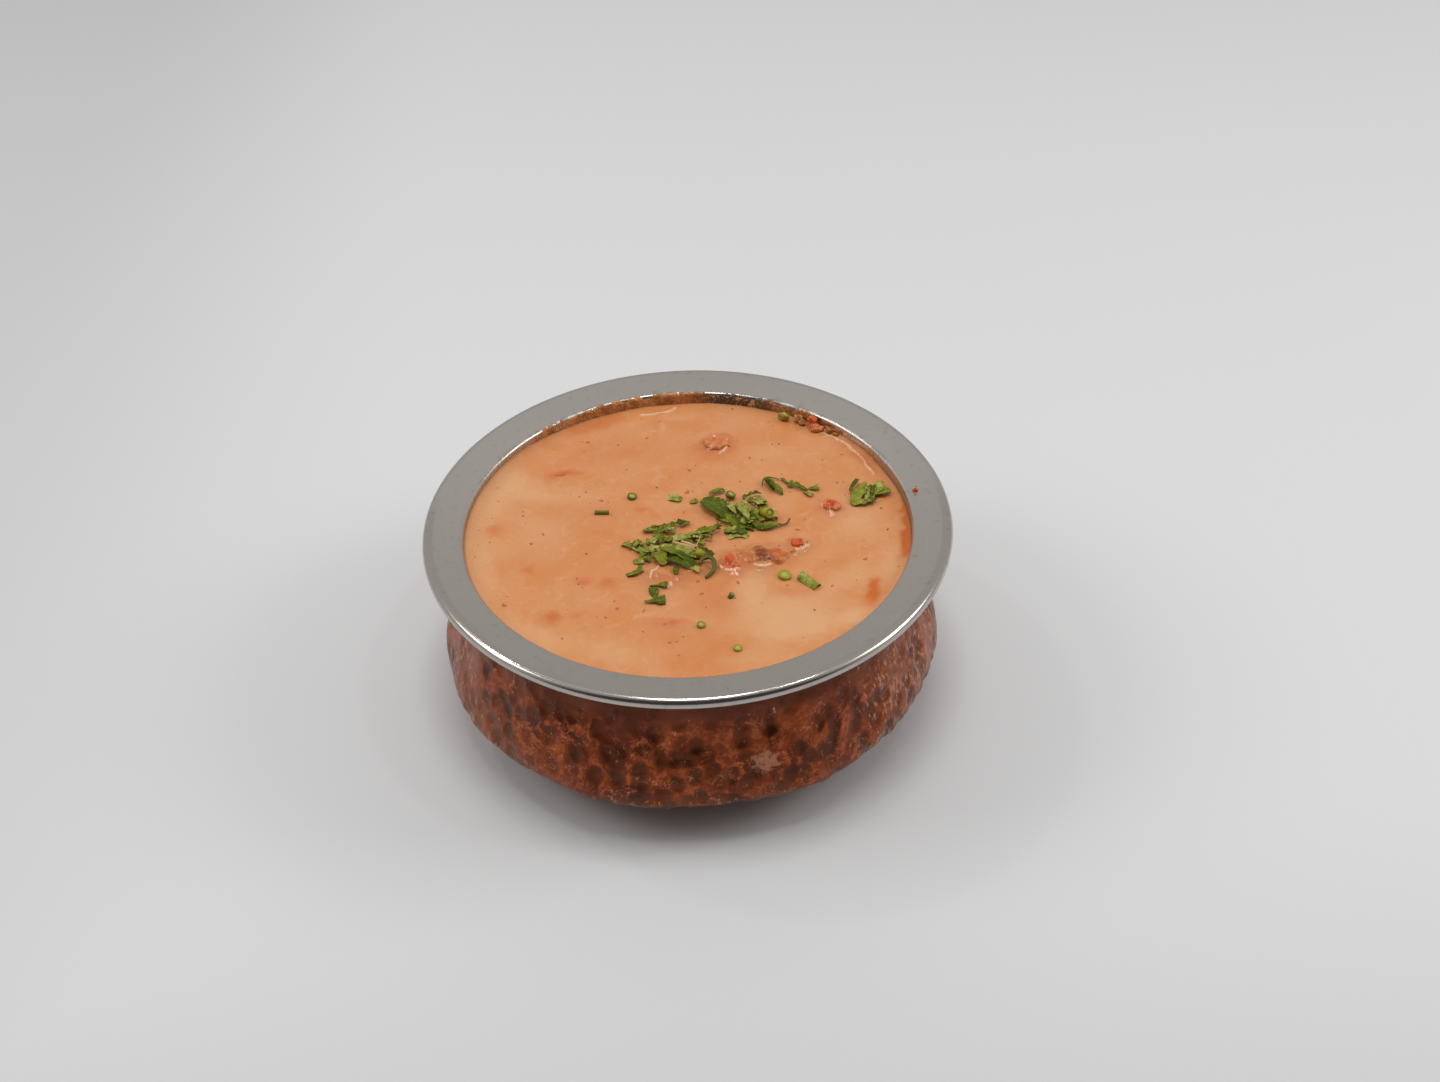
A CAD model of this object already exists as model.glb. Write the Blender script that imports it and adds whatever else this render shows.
import math
import random
from types import SimpleNamespace

import bmesh
import bpy
from mathutils import Matrix, Vector, noise


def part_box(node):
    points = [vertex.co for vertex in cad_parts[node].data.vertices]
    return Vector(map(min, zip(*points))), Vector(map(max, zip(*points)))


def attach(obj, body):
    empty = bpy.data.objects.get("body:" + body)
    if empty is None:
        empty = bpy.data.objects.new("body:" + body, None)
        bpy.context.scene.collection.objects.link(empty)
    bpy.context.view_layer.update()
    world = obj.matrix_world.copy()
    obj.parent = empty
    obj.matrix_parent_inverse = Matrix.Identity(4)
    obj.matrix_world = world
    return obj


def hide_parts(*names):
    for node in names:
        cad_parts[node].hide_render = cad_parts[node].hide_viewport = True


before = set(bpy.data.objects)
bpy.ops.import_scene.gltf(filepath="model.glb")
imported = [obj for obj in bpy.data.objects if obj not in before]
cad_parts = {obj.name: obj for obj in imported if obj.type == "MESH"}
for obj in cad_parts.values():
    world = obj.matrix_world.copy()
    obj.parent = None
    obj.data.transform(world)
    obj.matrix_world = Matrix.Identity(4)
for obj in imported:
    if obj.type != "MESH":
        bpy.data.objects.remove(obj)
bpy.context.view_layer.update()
mm = 0.001
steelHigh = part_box("steel_bowl")[1]
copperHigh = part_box("copper_shell")[1]
rimRadius = steelHigh.x
rimTop = steelHigh.z
sauceLevel = rimTop - 5.3 * mm          # flat top of the sauce, below the small rise at the wall
print("frame loaded,", len(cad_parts), "nodes, rim radius", round(rimRadius / mm, 2), "mm")


def linear(code):                        # sRGB hex to linear red, green, blue and alpha
    values = [int(code[i:i + 2], 16) / 255 for i in (0, 2, 4)]
    return [v / 12.92 if v <= 0.04045 else ((v + 0.055) / 1.055) ** 2.4 for v in values] + [1.0]


def addNode(tree, kind, *inputs, take=0, **settings):
    # one node with its settings and links: inputs come in order or in one dictionary, and output number or
    # name take is handed back, or all outputs where take is None
    node = tree.nodes.new(kind)
    for name, value in settings.items():
        setattr(node, name, value)
    named = inputs[0] if inputs and isinstance(inputs[0], dict) else dict(enumerate(inputs))
    for name, value in named.items():
        if isinstance(value, bpy.types.NodeSocket):
            tree.links.new(value, node.inputs[name])
        else:
            node.inputs[name].default_value = value
    return node.outputs[take] if take is not None and node.outputs else node.outputs


def overlap(tree, *parts):
    # 1 where every part holds; a part is a value, and the span of it in which it comes in softly
    whole = None
    for value, *span in parts:
        if span:
            value = addNode(tree, "ShaderNodeMapRange", value, *span, interpolation_type="SMOOTHSTEP")
        if whole is not None:
            value = addNode(tree, "ShaderNodeMath", whole, value, operation="MULTIPLY")
        whole = value
    return whole


def newMaterial(name, patterns, marks=(), **constants):
    # patterns are noises: size in mm, detail, roughness and warp; marks are values painted on the mesh
    material = bpy.data.materials.new(name)
    material.use_nodes = True
    tree = material.node_tree
    shader = tree.nodes["Principled BSDF"]
    for socket, value in constants.items():
        shader.inputs[socket.replace("_", " ")].default_value = value
    look = SimpleNamespace(place=addNode(tree, "ShaderNodeTexCoord", take="Object"))
    for label, (size, detail, roughness, warp) in patterns.items():
        inputs = {"Scale": 1000.0 / size, "Detail": detail, "Roughness": roughness, "Distortion": warp}
        setattr(look, label, addNode(tree, "ShaderNodeTexNoise", {"Vector": look.place, **inputs}))
    for mark in marks:
        setattr(look, mark, addNode(tree, "ShaderNodeAttribute", attribute_name=mark, take="Fac"))
    return material, tree, shader, look


def finishSurface(tree, shader, base, layers, roughness=None, relief=None, depth=0.0):
    # colours laid one over another, then roughness, and relief of a depth in mm
    # a layer is an amount, the span of it in which the colour comes in or None, a strength and a colour
    colour = linear(base)
    for amount, span, strength, code in layers:
        if span:
            amount = addNode(tree, "ShaderNodeMapRange", amount, *span, interpolation_type="SMOOTHSTEP")
        if strength != 1.0:
            amount = addNode(tree, "ShaderNodeMath", amount, strength, operation="MULTIPLY")
        mixed = {0: amount, 6: colour, 7: linear(code)}      # by number, as several sockets share a name
        colour = addNode(tree, "ShaderNodeMix", mixed, take=2, data_type="RGBA")
    tree.links.new(colour, shader.inputs["Base Color"])
    if roughness is not None:
        tree.links.new(roughness, shader.inputs["Roughness"])
    if relief is not None:
        bump = addNode(tree, "ShaderNodeBump", {"Height": relief, "Distance": depth * mm})
        tree.links.new(bump, shader.inputs["Normal"])


def newPiece(name, mesh, material, replaced=()):
    piece = bpy.data.objects.new(name, mesh)
    bpy.context.scene.collection.objects.link(piece)
    if material and not mesh.materials:
        mesh.materials.append(material)
    mesh.shade_smooth()
    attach(piece, "root")
    if replaced:
        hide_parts(*replaced)
    return piece


def newTree(name, inputs):               # geometry tree with named inputs, given as name: value
    tree = bpy.data.node_groups.new(name, "GeometryNodeTree")
    kinds = {float: "NodeSocketFloat", int: "NodeSocketInt", bpy.types.Material: "NodeSocketMaterial"}
    tree.interface.new_socket("Geometry", in_out="INPUT", socket_type="NodeSocketGeometry")
    tree.interface.new_socket("Geometry", in_out="OUTPUT", socket_type="NodeSocketGeometry")
    for label, value in inputs.items():
        socket = tree.interface.new_socket(label, in_out="INPUT", socket_type=kinds[type(value)])
        socket.default_value = value
    return tree, tree.nodes.new("NodeGroupInput").outputs


def closeTree(tree, geometry, material):    # every tree ends in real faces with their material
    real = addNode(tree, "GeometryNodeRealizeInstances", geometry)
    done = addNode(tree, "GeometryNodeSetMaterial", {"Geometry": real, "Material": material})
    addNode(tree, "NodeGroupOutput", {"Geometry": done})


def meshFromTree(base, tree, values):    # run a tree on a mesh and keep the result as a plain mesh
    carrier = bpy.data.objects.new("carrier", base)
    bpy.context.scene.collection.objects.link(carrier)
    modifier = carrier.modifiers.new(tree.name, "NODES")
    modifier.node_group = tree
    for socket in tree.interface.items_tree:
        if socket.in_out == "INPUT" and socket.name in values:
            modifier[socket.identifier] = values[socket.name]
    evaluated = carrier.evaluated_get(bpy.context.evaluated_depsgraph_get())
    mesh = bpy.data.meshes.new_from_object(evaluated)
    carrier.modifiers.remove(modifier)
    bpy.data.objects.remove(carrier)
    return mesh


cameraPlace = {
    "lens": 42.5,
    "position": (0.0, -0.3526, 0.3345),
    "aim": (0.00817, -0.0114, 0.0540),
    "roll": -1.687,                      # degrees, turns the view clockwise
}


def placeCamera():
    camera = bpy.data.objects.new("camera", bpy.data.cameras.new("camera"))
    camera.data.lens = cameraPlace["lens"]
    camera.data.sensor_width = 36.0
    camera.data.clip_start = 0.01
    camera.data.clip_end = 20.0
    look = Vector(cameraPlace["aim"]) - Vector(cameraPlace["position"])
    turn = look.to_track_quat("-Z", "Y").to_matrix().to_4x4()
    roll = Matrix.Rotation(math.radians(cameraPlace["roll"]), 4, "Z")
    camera.matrix_world = Matrix.Translation(cameraPlace["position"]) @ turn @ roll
    bpy.context.scene.collection.objects.link(camera)
    bpy.context.scene.camera = camera


studio = {
    "floorSize": 6.0,
    "floorColour": "dadada",
    "floorGrain": "d6d6d6",
    "floorEdge": "c8c8c8",
    "greyFront": (-0.05, -0.22),         # metres in y over which the floor greys
    "greyLeft": (-0.09, -0.27),          # metres in x
    "skyColour": "ffffff",
    "skyStrength": 0.49,
    "darkRoom": 0.065,                   # what is left of the sky low down behind the camera
    "lampAim": (0, 0, 0.04),
    # name, place, size, watts; the two glint lamps are too weak to light, and small enough for wet glints
    "lamps": [
        ("left_softbox", (-0.95, 0.04, 0.80), 0.50, 3.1),
        ("right_softbox", (1.00, 0.02, 0.75), 0.50, 3.7),
        ("top_softbox", (0.0, -0.04, 1.50), 0.40, 6.5),
        ("left_glint_lamp", (-0.56, 0.32, 0.95), 0.06, 0.5),
        ("right_glint_lamp", (0.36, -0.06, 1.00), 0.05, 0.4),
    ],
}


def layFloor():
    # a sweep of matt white paper: nearly even, a little greyer towards the front and the left
    half = studio["floorSize"] / 2
    corners = [(-half, -half, 0), (half, -half, 0), (half, half, 0), (-half, half, 0)]
    floor = bpy.data.meshes.new("floor")
    floor.from_pydata(corners, [], [(0, 1, 2, 3)])
    patterns = {"grain": (400.0, 2.0, 0.5, 0.0)}
    material, tree, shader, look = newMaterial("matt_white_paper_sweep", patterns, Roughness=0.75)
    axes = addNode(tree, "ShaderNodeSeparateXYZ", look.place, take=None)
    front = overlap(tree, (axes["Y"], *studio["greyFront"]))
    left = overlap(tree, (axes["X"], *studio["greyLeft"]))
    edge = addNode(tree, "ShaderNodeMath", front, left, operation="MAXIMUM")
    layers = [(look.grain, None, 1.0, studio["floorGrain"]), (edge, None, 1.0, studio["floorEdge"])]
    finishSurface(tree, shader, studio["floorColour"], layers)
    floor.materials.append(material)
    floorPiece = bpy.data.objects.new("studio_floor", floor)
    bpy.context.scene.collection.objects.link(floorPiece)


def lightStudio():
    world = bpy.data.worlds.new("studio")
    world.use_nodes = True
    tree = world.node_tree
    sky = tree.nodes["Background"]
    direction = addNode(tree, "ShaderNodeTexCoord", take="Generated")
    axes = addNode(tree, "ShaderNodeSeparateXYZ", direction, take=None)
    ahead = addNode(tree, "ShaderNodeMath", axes["Y"], -1.0, operation="MULTIPLY")
    darkening = (0.25, 0.70, studio["skyStrength"], studio["darkRoom"])
    strength = addNode(tree, "ShaderNodeMapRange", ahead, *darkening, interpolation_type="SMOOTHSTEP")
    sky.inputs["Color"].default_value = linear(studio["skyColour"])
    tree.links.new(strength, sky.inputs["Strength"])
    bpy.context.scene.world = world

    for name, place, size, watts in studio["lamps"]:
        lamp = bpy.data.lights.new(name, "AREA")
        lamp.shape = "SQUARE"
        lamp.size = size
        lamp.energy = watts
        lampPiece = bpy.data.objects.new(name, lamp)
        aim = Vector(studio["lampAim"]) - Vector(place)
        lampPiece.matrix_world = Matrix.Translation(place) @ aim.to_track_quat("-Z", "Y").to_matrix().to_4x4()
        bpy.context.scene.collection.objects.link(lampPiece)
    bpy.context.scene.view_settings.view_transform = "Standard"


placeCamera()
layFloor()
lightStudio()
print("camera and studio placed")


pot = {
    "openingRadius": 59.4 * mm,
    "cornerRadius": 1.0 * mm,
    "lipRadius": 1.65 * mm,
    "flangeSlope": math.radians(12.0),
    "sheet": 1.0 * mm,
    "skinGap": 0.4 * mm,
    "shellNeck": 62.4 * mm,
    "neckHeight": 45.0 * mm,
    "bellyRadius": copperHigh.x,
    "bellyHeight": 15.2 * mm,
    "footRadius": 38.0 * mm,
    "undersidePower": 1.5,
}


def potSection(inset, neckRadius, top, rows):
    # one skin of the pot from top to bottom, inset inside the outer face of the copper, with rows of points
    # on the wall and on the underside
    wallRows, undersideRows = rows
    belly = pot["bellyRadius"] - inset
    points = []
    neckRows = max(1, round((top - pot["neckHeight"]) / (pot["neckHeight"] - pot["bellyHeight"]) * wallRows))
    for row in range(neckRows):
        points.append((neckRadius, top + (pot["neckHeight"] - top) * row / neckRows))
    for row in range(wallRows + 1):
        share = row / wallRows
        radius = neckRadius + (belly - neckRadius) * (1 - math.cos(math.pi * share)) / 2
        points.append((radius, pot["neckHeight"] + (pot["bellyHeight"] - pot["neckHeight"]) * share))
    for row in range(1, undersideRows + 1):
        angle = math.pi / 2 * row / undersideRows
        reach = max(math.cos(angle), 0.0) ** (2 / pot["undersidePower"])
        drop = math.sin(angle) ** (2 / pot["undersidePower"])
        radius = pot["footRadius"] + (belly - pot["footRadius"]) * reach
        points.append((radius, pot["bellyHeight"] - (pot["bellyHeight"] - inset) * drop))
    return points


def arc(centre, radius, start, end, count):
    angles = [start + (end - start) * index / count for index in range(count + 1)]
    return [(centre[0] + radius * math.cos(a), centre[1] + radius * math.sin(a)) for a in angles]


def line(start, end, count):             # inner points of a straight run, without its ends
    steps = [index / count for index in range(1, count)]
    return [(start[0] + (end[0] - start[0]) * s, start[1] + (end[1] - start[1]) * s) for s in steps]


lipCentre = (rimRadius - pot["lipRadius"], rimTop - pot["lipRadius"])
cornerX = pot["openingRadius"] + pot["cornerRadius"]
cornerFall = (lipCentre[0] - cornerX) * math.sin(pot["flangeSlope"]) + pot["cornerRadius"] - pot["lipRadius"]
cornerCentre = (cornerX, lipCentre[1] - cornerFall / math.cos(pot["flangeSlope"]))


def sectionMesh(name, points, zones=None):    # half a section as a line; zones marks what is hammered later
    mesh = bpy.data.meshes.new(name)
    edges = [(index, index + 1) for index in range(len(points) - 1)]
    mesh.from_pydata([(radius, 0, height) for radius, height in points], edges, [])
    mark = mesh.attributes.new("zone", "FLOAT", "POINT")
    mark.data.foreach_set("value", zones or [0.0] * len(points))
    return mesh


def turnSteps(tree, group):              # nodes that turn the section about the Z axis, as a lathe does
    section = group["Geometry"]
    count = addNode(tree, "GeometryNodeAttributeDomainSize", section, component="MESH", take="Point Count")
    columns = addNode(tree, "ShaderNodeMath", group["Steps"], 1.0, operation="ADD")
    sheet = addNode(tree, "GeometryNodeMeshGrid", {"Vertices X": columns, "Vertices Y": count}, take="Mesh")
    index = addNode(tree, "GeometryNodeInputIndex")
    middle = addNode(tree, "ShaderNodeMath", index, 0.5, operation="ADD")
    share = addNode(tree, "ShaderNodeMath", middle, count, operation="DIVIDE")
    column = addNode(tree, "ShaderNodeMath", share, operation="FLOOR")
    before = addNode(tree, "ShaderNodeMath", column, count, operation="MULTIPLY")
    row = addNode(tree, "ShaderNodeMath", index, before, operation="SUBTRACT")
    place = addNode(tree, "GeometryNodeInputPosition")
    taken = addNode(tree, "GeometryNodeSampleIndex", {"Geometry": section, "Value": place, "Index": row},
                    data_type="FLOAT_VECTOR", domain="POINT", take="Value")
    zoneIn = addNode(tree, "GeometryNodeInputNamedAttribute", {"Name": "zone"}, data_type="FLOAT")
    zone = addNode(tree, "GeometryNodeSampleIndex", {"Geometry": section, "Value": zoneIn, "Index": row},
                   data_type="FLOAT", domain="POINT", take="Value")
    turned = addNode(tree, "ShaderNodeMath", column, group["Steps"], operation="DIVIDE")
    angle = addNode(tree, "ShaderNodeMath", turned, -math.tau, operation="MULTIPLY")
    spun = addNode(tree, "ShaderNodeVectorRotate", {"Vector": taken, "Angle": angle}, rotation_type="Z_AXIS")
    marking = {"Geometry": sheet, "Name": "zone", "Value": zone}
    marked = addNode(tree, "GeometryNodeStoreNamedAttribute", marking, data_type="FLOAT", domain="POINT")
    shaped = addNode(tree, "GeometryNodeSetPosition", {"Geometry": marked, "Position": spun})
    # the seam and the poles are closed last
    return addNode(tree, "GeometryNodeMergeByDistance", {"Geometry": shaped, "Distance": 0.002 * mm})


steelBowl = {
    "steps": 360,
    "lipPoints": 40,
    "cornerPoints": 10,
    "flangePoints": 14,
    "turningMarks": 0.35,                # mm between the rings left by the lathe
}


def steelMaterial():
    # stainless steel, spun on a lathe and satin finished: soft grey, faint rings, no mirror image
    patterns = {"haze": (9.0, 3.0, 0.5, 0.0), "smudge": (2.2, 4.0, 0.6, 0.0)}
    material, tree, shader, look = newMaterial("satin_spun_stainless_steel", patterns, Metallic=1.0,
                                               Anisotropic=0.35)
    axes = addNode(tree, "ShaderNodeSeparateXYZ", look.place, take=None)
    flat = addNode(tree, "ShaderNodeCombineXYZ", axes["X"], axes["Y"])
    radius = addNode(tree, "ShaderNodeVectorMath", flat, operation="LENGTH", take="Value")
    across = addNode(tree, "ShaderNodeCombineXYZ", {0: radius, 2: axes["Z"]})
    ringScale = 1000.0 / steelBowl["turningMarks"]
    rings = addNode(tree, "ShaderNodeTexNoise", {"Vector": across, "Scale": ringScale})
    lip, mouth = lipCentre[0], pot["openingRadius"]
    buffed = overlap(tree, (radius, lip - 1.6 * mm, lip - 0.4 * mm), (axes["Y"], 14.0 * mm, -4.0 * mm))
    oiled = overlap(tree, (radius, mouth + 1.2 * mm, mouth + 0.8 * mm), (look.smudge, 0.42, 0.56),
                    (axes["Y"], 14.0 * mm, 26.0 * mm))
    rough = addNode(tree, "ShaderNodeMath", look.haze, 0.10, 0.28, operation="MULTIPLY_ADD")
    for amount, change in ((buffed, -0.19), (oiled, -0.17), (rings, 0.05)):
        rough = addNode(tree, "ShaderNodeMath", amount, change, rough, operation="MULTIPLY_ADD")
    layers = [(look.haze, None, 1.0, "b9b2ab"), (look.smudge, (0.55, 0.8), 1.0, "aca49b")]
    finishSurface(tree, shader, "c3bcb4", layers, rough, rings, 0.004)
    return material


def makeSteelBowl():
    outerInset = pot["sheet"] + pot["skinGap"]
    normal = math.pi / 2 + pot["flangeSlope"]
    roll = math.acos((pot["lipRadius"] - pot["sheet"]) / pot["lipRadius"])
    inner = potSection(outerInset + pot["sheet"], pot["openingRadius"], cornerCentre[1], rows=(8, 8))
    outer = potSection(outerInset, pot["openingRadius"] + pot["sheet"], cornerCentre[1], rows=(6, 8))
    corner = arc(cornerCentre, pot["cornerRadius"], math.pi, normal, steelBowl["cornerPoints"])
    lip = arc(lipCentre, pot["lipRadius"], normal, normal + roll - math.tau, steelBowl["lipPoints"])
    points = [(0, outerInset + pot["sheet"])] + inner[:0:-1] + corner
    points += line(corner[-1], lip[0], steelBowl["flangePoints"]) + lip
    points += line(lip[-1], outer[0], 4) + outer + [(0, outerInset)]
    sizes = {"Steps": steelBowl["steps"], "Material": steelMaterial()}
    tree, group = newTree("turned_bowl", sizes)
    closeTree(tree, turnSteps(tree, group), group["Material"])
    mesh = meshFromTree(sectionMesh("steel_section", points), tree, sizes)
    newPiece("spun_steel_bowl", mesh, None, ["steel_bowl"])


copperShell = {
    "steps": 720,
    "smoothNeckAbove": 41.0 * mm,        # no hammer marks above this height
    "fadeOut": 3.0 * mm,                 # height over which they die away
    "flatFoot": 0.8 * mm,                # the foot is left flat up to here
    "dentPitch": 3.3 * mm,
    "dentReach": 2.95 * mm,
    "dentDepth": 0.60 * mm,
    "dentStray": 2.2 * mm,               # how far a dent's outline strays from an even oval
    "strayWaves": 220.0,                 # per metre, one in about 4.5 mm
    "wobble": 3.0 * mm,                  # how far the wall strays from true round
    "wobbleWaves": 52.0,                 # per metre, one in about 19 mm
    "seed": 4,
    "scrapedPatch": (16.5 * mm, -64.0 * mm, 26.0 * mm),
}


def copperMaterial():
    # beaten copper sheet, darkened by use: brown in the dents, red on the ridges, scuffed pale in places
    patterns = {
        "cloud": (13.0, 3.0, 0.5, 0.0),
        "blush": (5.0, 4.0, 0.6, 0.0),
        "scuff": (2.2, 5.0, 0.7, 0.0),
        "flecks": (0.9, 4.0, 0.7, 0.0),
        "wander": (4.6, 3.0, 0.55, 0.8),
    }
    material, tree, shader, look = newMaterial("aged_beaten_copper", patterns, ("hammer", "dentTone", "brow"),
                                               Metallic=1.0, Coat_Weight=0.12, Coat_Roughness=0.3)
    axes = addNode(tree, "ShaderNodeSeparateXYZ", look.place, take=None)
    tall = addNode(tree, "ShaderNodeMapping", {"Vector": look.place, "Scale": (1.0, 1.0, 0.42)})
    streak = {"Vector": tall, "Scale": 1000.0 / 1.6, "Detail": 5.0, "Roughness": 0.7}
    streak = addNode(tree, "ShaderNodeTexNoise", streak)
    stain = {"Vector": tall, "Scale": 1000.0 / 6.0, "Detail": 3.0, "Roughness": 0.55, "Distortion": 0.6}
    stain = addNode(tree, "ShaderNodeTexNoise", stain)
    struck = (axes["Z"], 43.0 * mm, 33.0 * mm)           # below this the hammer has bared the ridges

    tone = addNode(tree, "ShaderNodeMath", look.dentTone, 0.46, 0.24, operation="MULTIPLY_ADD")
    low = overlap(tree, (axes["Z"], 40.0 * mm, 27.0 * mm))
    low = addNode(tree, "ShaderNodeMath", low, 0.65, 0.35, operation="MULTIPLY_ADD")
    inside = overlap(tree, (look.hammer, 0.12, 0.55), (tone,), (low,))
    ridge = overlap(tree, (look.hammer, 0.22, 0.03), (look.scuff, 0.46, 0.62), struck)
    blotch = addNode(tree, "ShaderNodeMath", look.blush, 0.5, operation="SUBTRACT")
    height = addNode(tree, "ShaderNodeMath", blotch, 10.0 * mm, axes["Z"], operation="MULTIPLY_ADD")
    sideways = addNode(tree, "ShaderNodeMath", axes["X"], operation="ABSOLUTE")
    sides = overlap(tree, (sideways, 36.0 * mm, 60.0 * mm), (look.cloud, 0.40, 0.60))
    bright = overlap(tree, (look.flecks, 0.57, 0.66), (look.blush, 0.46, 0.60), struck)
    wander = addNode(tree, "ShaderNodeMath", look.wander, 0.5, operation="SUBTRACT")
    wander = addNode(tree, "ShaderNodeMath", wander, operation="ABSOLUTE")
    rubbed = overlap(tree, (wander, 0.016, 0.004), (look.blush, 0.48, 0.60), struck)

    worn = overlap(tree, (axes["X"], 34.0 * mm, 56.0 * mm))
    for side, share in (((axes["X"], -48.0 * mm, -62.0 * mm), 0.6), ((axes["Z"], 18.0 * mm, 12.0 * mm), 1.0)):
        worn = addNode(tree, "ShaderNodeMath", overlap(tree, side), share, worn, operation="MULTIPLY_ADD")
    worn = addNode(tree, "ShaderNodeMath", worn, 0.75, operation="MINIMUM")
    worn = addNode(tree, "ShaderNodeMath", worn, 0.16, streak, operation="MULTIPLY_ADD")
    patch = copperShell["scrapedPatch"]
    away = addNode(tree, "ShaderNodeVectorMath", look.place, patch, operation="DISTANCE", take="Value")
    ragged = addNode(tree, "ShaderNodeMath", look.scuff, 0.5, operation="SUBTRACT")
    ragged = addNode(tree, "ShaderNodeMath", ragged, 4.0, overlap(tree, (away, 5.5 * mm, 1.5 * mm)),
                     operation="MULTIPLY_ADD")
    scraped = overlap(tree, (ragged, 0.4, 1.0), (away, 6.0 * mm, 4.0 * mm))
    layers = [
        (look.cloud, (0.38, 0.62), 1.0, "74341c"),
        (look.blush, (0.50, 0.64), 0.55, "a44c27"),
        (stain, (0.52, 0.66), 0.75, "4c2016"),
        (inside, None, 1.0, "3e2c1c"),
        (look.brow, (0.0, 0.5), 0.30, "23160e"),         # soot under each brow
        (ridge, None, 0.65, "c0653c"),
        (height, (34.0 * mm, 44.0 * mm), 0.62, "3a231c"),    # dull under the rim
        (height, (20.0 * mm, 11.0 * mm), 0.46, "7a5744"),
        (sides, None, 0.42, "b4704c"),
        (bright, None, 0.6, "d98e68"),
        (rubbed, None, 0.5, "cf8560"),
        (worn, (0.63, 0.72), 0.7, "cc987e"),
        (scraped, None, 0.65, "bd8668"),
    ]
    rough = addNode(tree, "ShaderNodeMath", look.scuff, 0.25, 0.26, operation="MULTIPLY_ADD")
    relief = addNode(tree, "ShaderNodeMath", look.flecks, 0.4, look.scuff, operation="MULTIPLY_ADD")
    finishSurface(tree, shader, "8b4321", layers, rough, relief, 0.16)
    return material


def hammerSteps(tree, group, shell):     # nodes that beat round dents into the outer skin
    zone = addNode(tree, "GeometryNodeInputNamedAttribute", {"Name": "zone"}, data_type="FLOAT")
    struck = addNode(tree, "ShaderNodeMath", zone, 0.5, operation="GREATER_THAN")
    spread = {
        "Mesh": shell,
        "Selection": struck,
        "Distance Min": group["Dent Pitch"],
        "Density Max": 400000.0,         # more than the pitch leaves room for
        "Seed": group["Seed"],
    }
    blows = addNode(tree, "GeometryNodeDistributePointsOnFaces", spread, take="Points",
                    distribute_method="POISSON")
    place = addNode(tree, "GeometryNodeInputPosition")
    nearest = addNode(tree, "GeometryNodeSampleNearest", blows, domain="POINT")
    centre = addNode(tree, "GeometryNodeSampleIndex", {"Geometry": blows, "Value": place, "Index": nearest},
                     data_type="FLOAT_VECTOR", domain="POINT", take="Value")
    away = addNode(tree, "ShaderNodeVectorMath", place, centre, operation="SUBTRACT")
    stray = {"Vector": place, "Scale": copperShell["strayWaves"], "Detail": 2.0}
    stray = addNode(tree, "ShaderNodeTexNoise", stray, take="Color")
    stray = addNode(tree, "ShaderNodeVectorMath", stray, (0.5, 0.5, 0.5), operation="SUBTRACT")
    stray = addNode(tree, "ShaderNodeVectorMath", {0: stray, "Scale": group["Dent Stray"]}, operation="SCALE")
    away = addNode(tree, "ShaderNodeVectorMath", away, stray, operation="ADD")
    oval = addNode(tree, "ShaderNodeVectorMath", away, (1.0, 1.0, 0.75), operation="MULTIPLY")
    distance = addNode(tree, "ShaderNodeVectorMath", oval, operation="LENGTH", take="Value")
    force = addNode(tree, "FunctionNodeRandomValue", {"ID": nearest, "Seed": group["Seed"]}, take=1)

    share = addNode(tree, "ShaderNodeMath", distance, group["Dent Reach"], operation="DIVIDE")
    squared = addNode(tree, "ShaderNodeMath", share, share, operation="MULTIPLY")
    left = addNode(tree, "ShaderNodeMath", 1.0, squared, operation="SUBTRACT")
    left = addNode(tree, "ShaderNodeMath", left, 0.0, operation="MAXIMUM")
    bowl = overlap(tree, (left,), (left,), (zone,))
    above = addNode(tree, "ShaderNodeSeparateXYZ", away, take="Z")
    above = addNode(tree, "ShaderNodeMath", above, group["Dent Reach"], operation="DIVIDE")
    brow = addNode(tree, "ShaderNodeMath", bowl, 2.0, operation="MULTIPLY")
    brow = addNode(tree, "ShaderNodeMath", brow, above, operation="MULTIPLY")
    strength = addNode(tree, "ShaderNodeMath", force, 0.6, 0.5, operation="MULTIPLY_ADD")
    depth = addNode(tree, "ShaderNodeMath", group["Dent Depth"], strength, operation="MULTIPLY")

    sway = {"Vector": place, "Scale": copperShell["wobbleWaves"], "Detail": 1.0}
    sway = addNode(tree, "ShaderNodeTexNoise", sway)
    sway = addNode(tree, "ShaderNodeMath", sway, 0.5, operation="SUBTRACT")
    wobble = addNode(tree, "ShaderNodeMath", group["Wobble"], zone, operation="MULTIPLY")
    sway = addNode(tree, "ShaderNodeMath", sway, wobble, operation="MULTIPLY")
    push = addNode(tree, "ShaderNodeMath", bowl, depth, operation="MULTIPLY")
    push = addNode(tree, "ShaderNodeMath", push, -1.0, operation="MULTIPLY")
    push = addNode(tree, "ShaderNodeMath", push, sway, operation="SUBTRACT")
    normal = addNode(tree, "GeometryNodeInputNormal")
    offset = addNode(tree, "ShaderNodeVectorMath", {0: normal, "Scale": push}, operation="SCALE")
    for name, value in (("hammer", bowl), ("brow", brow), ("dentTone", force)):
        marking = {"Geometry": shell, "Name": name, "Value": value}
        shell = addNode(tree, "GeometryNodeStoreNamedAttribute", marking, data_type="FLOAT", domain="POINT")
    return addNode(tree, "GeometryNodeSetPosition", {"Geometry": shell, "Offset": offset})


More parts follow.
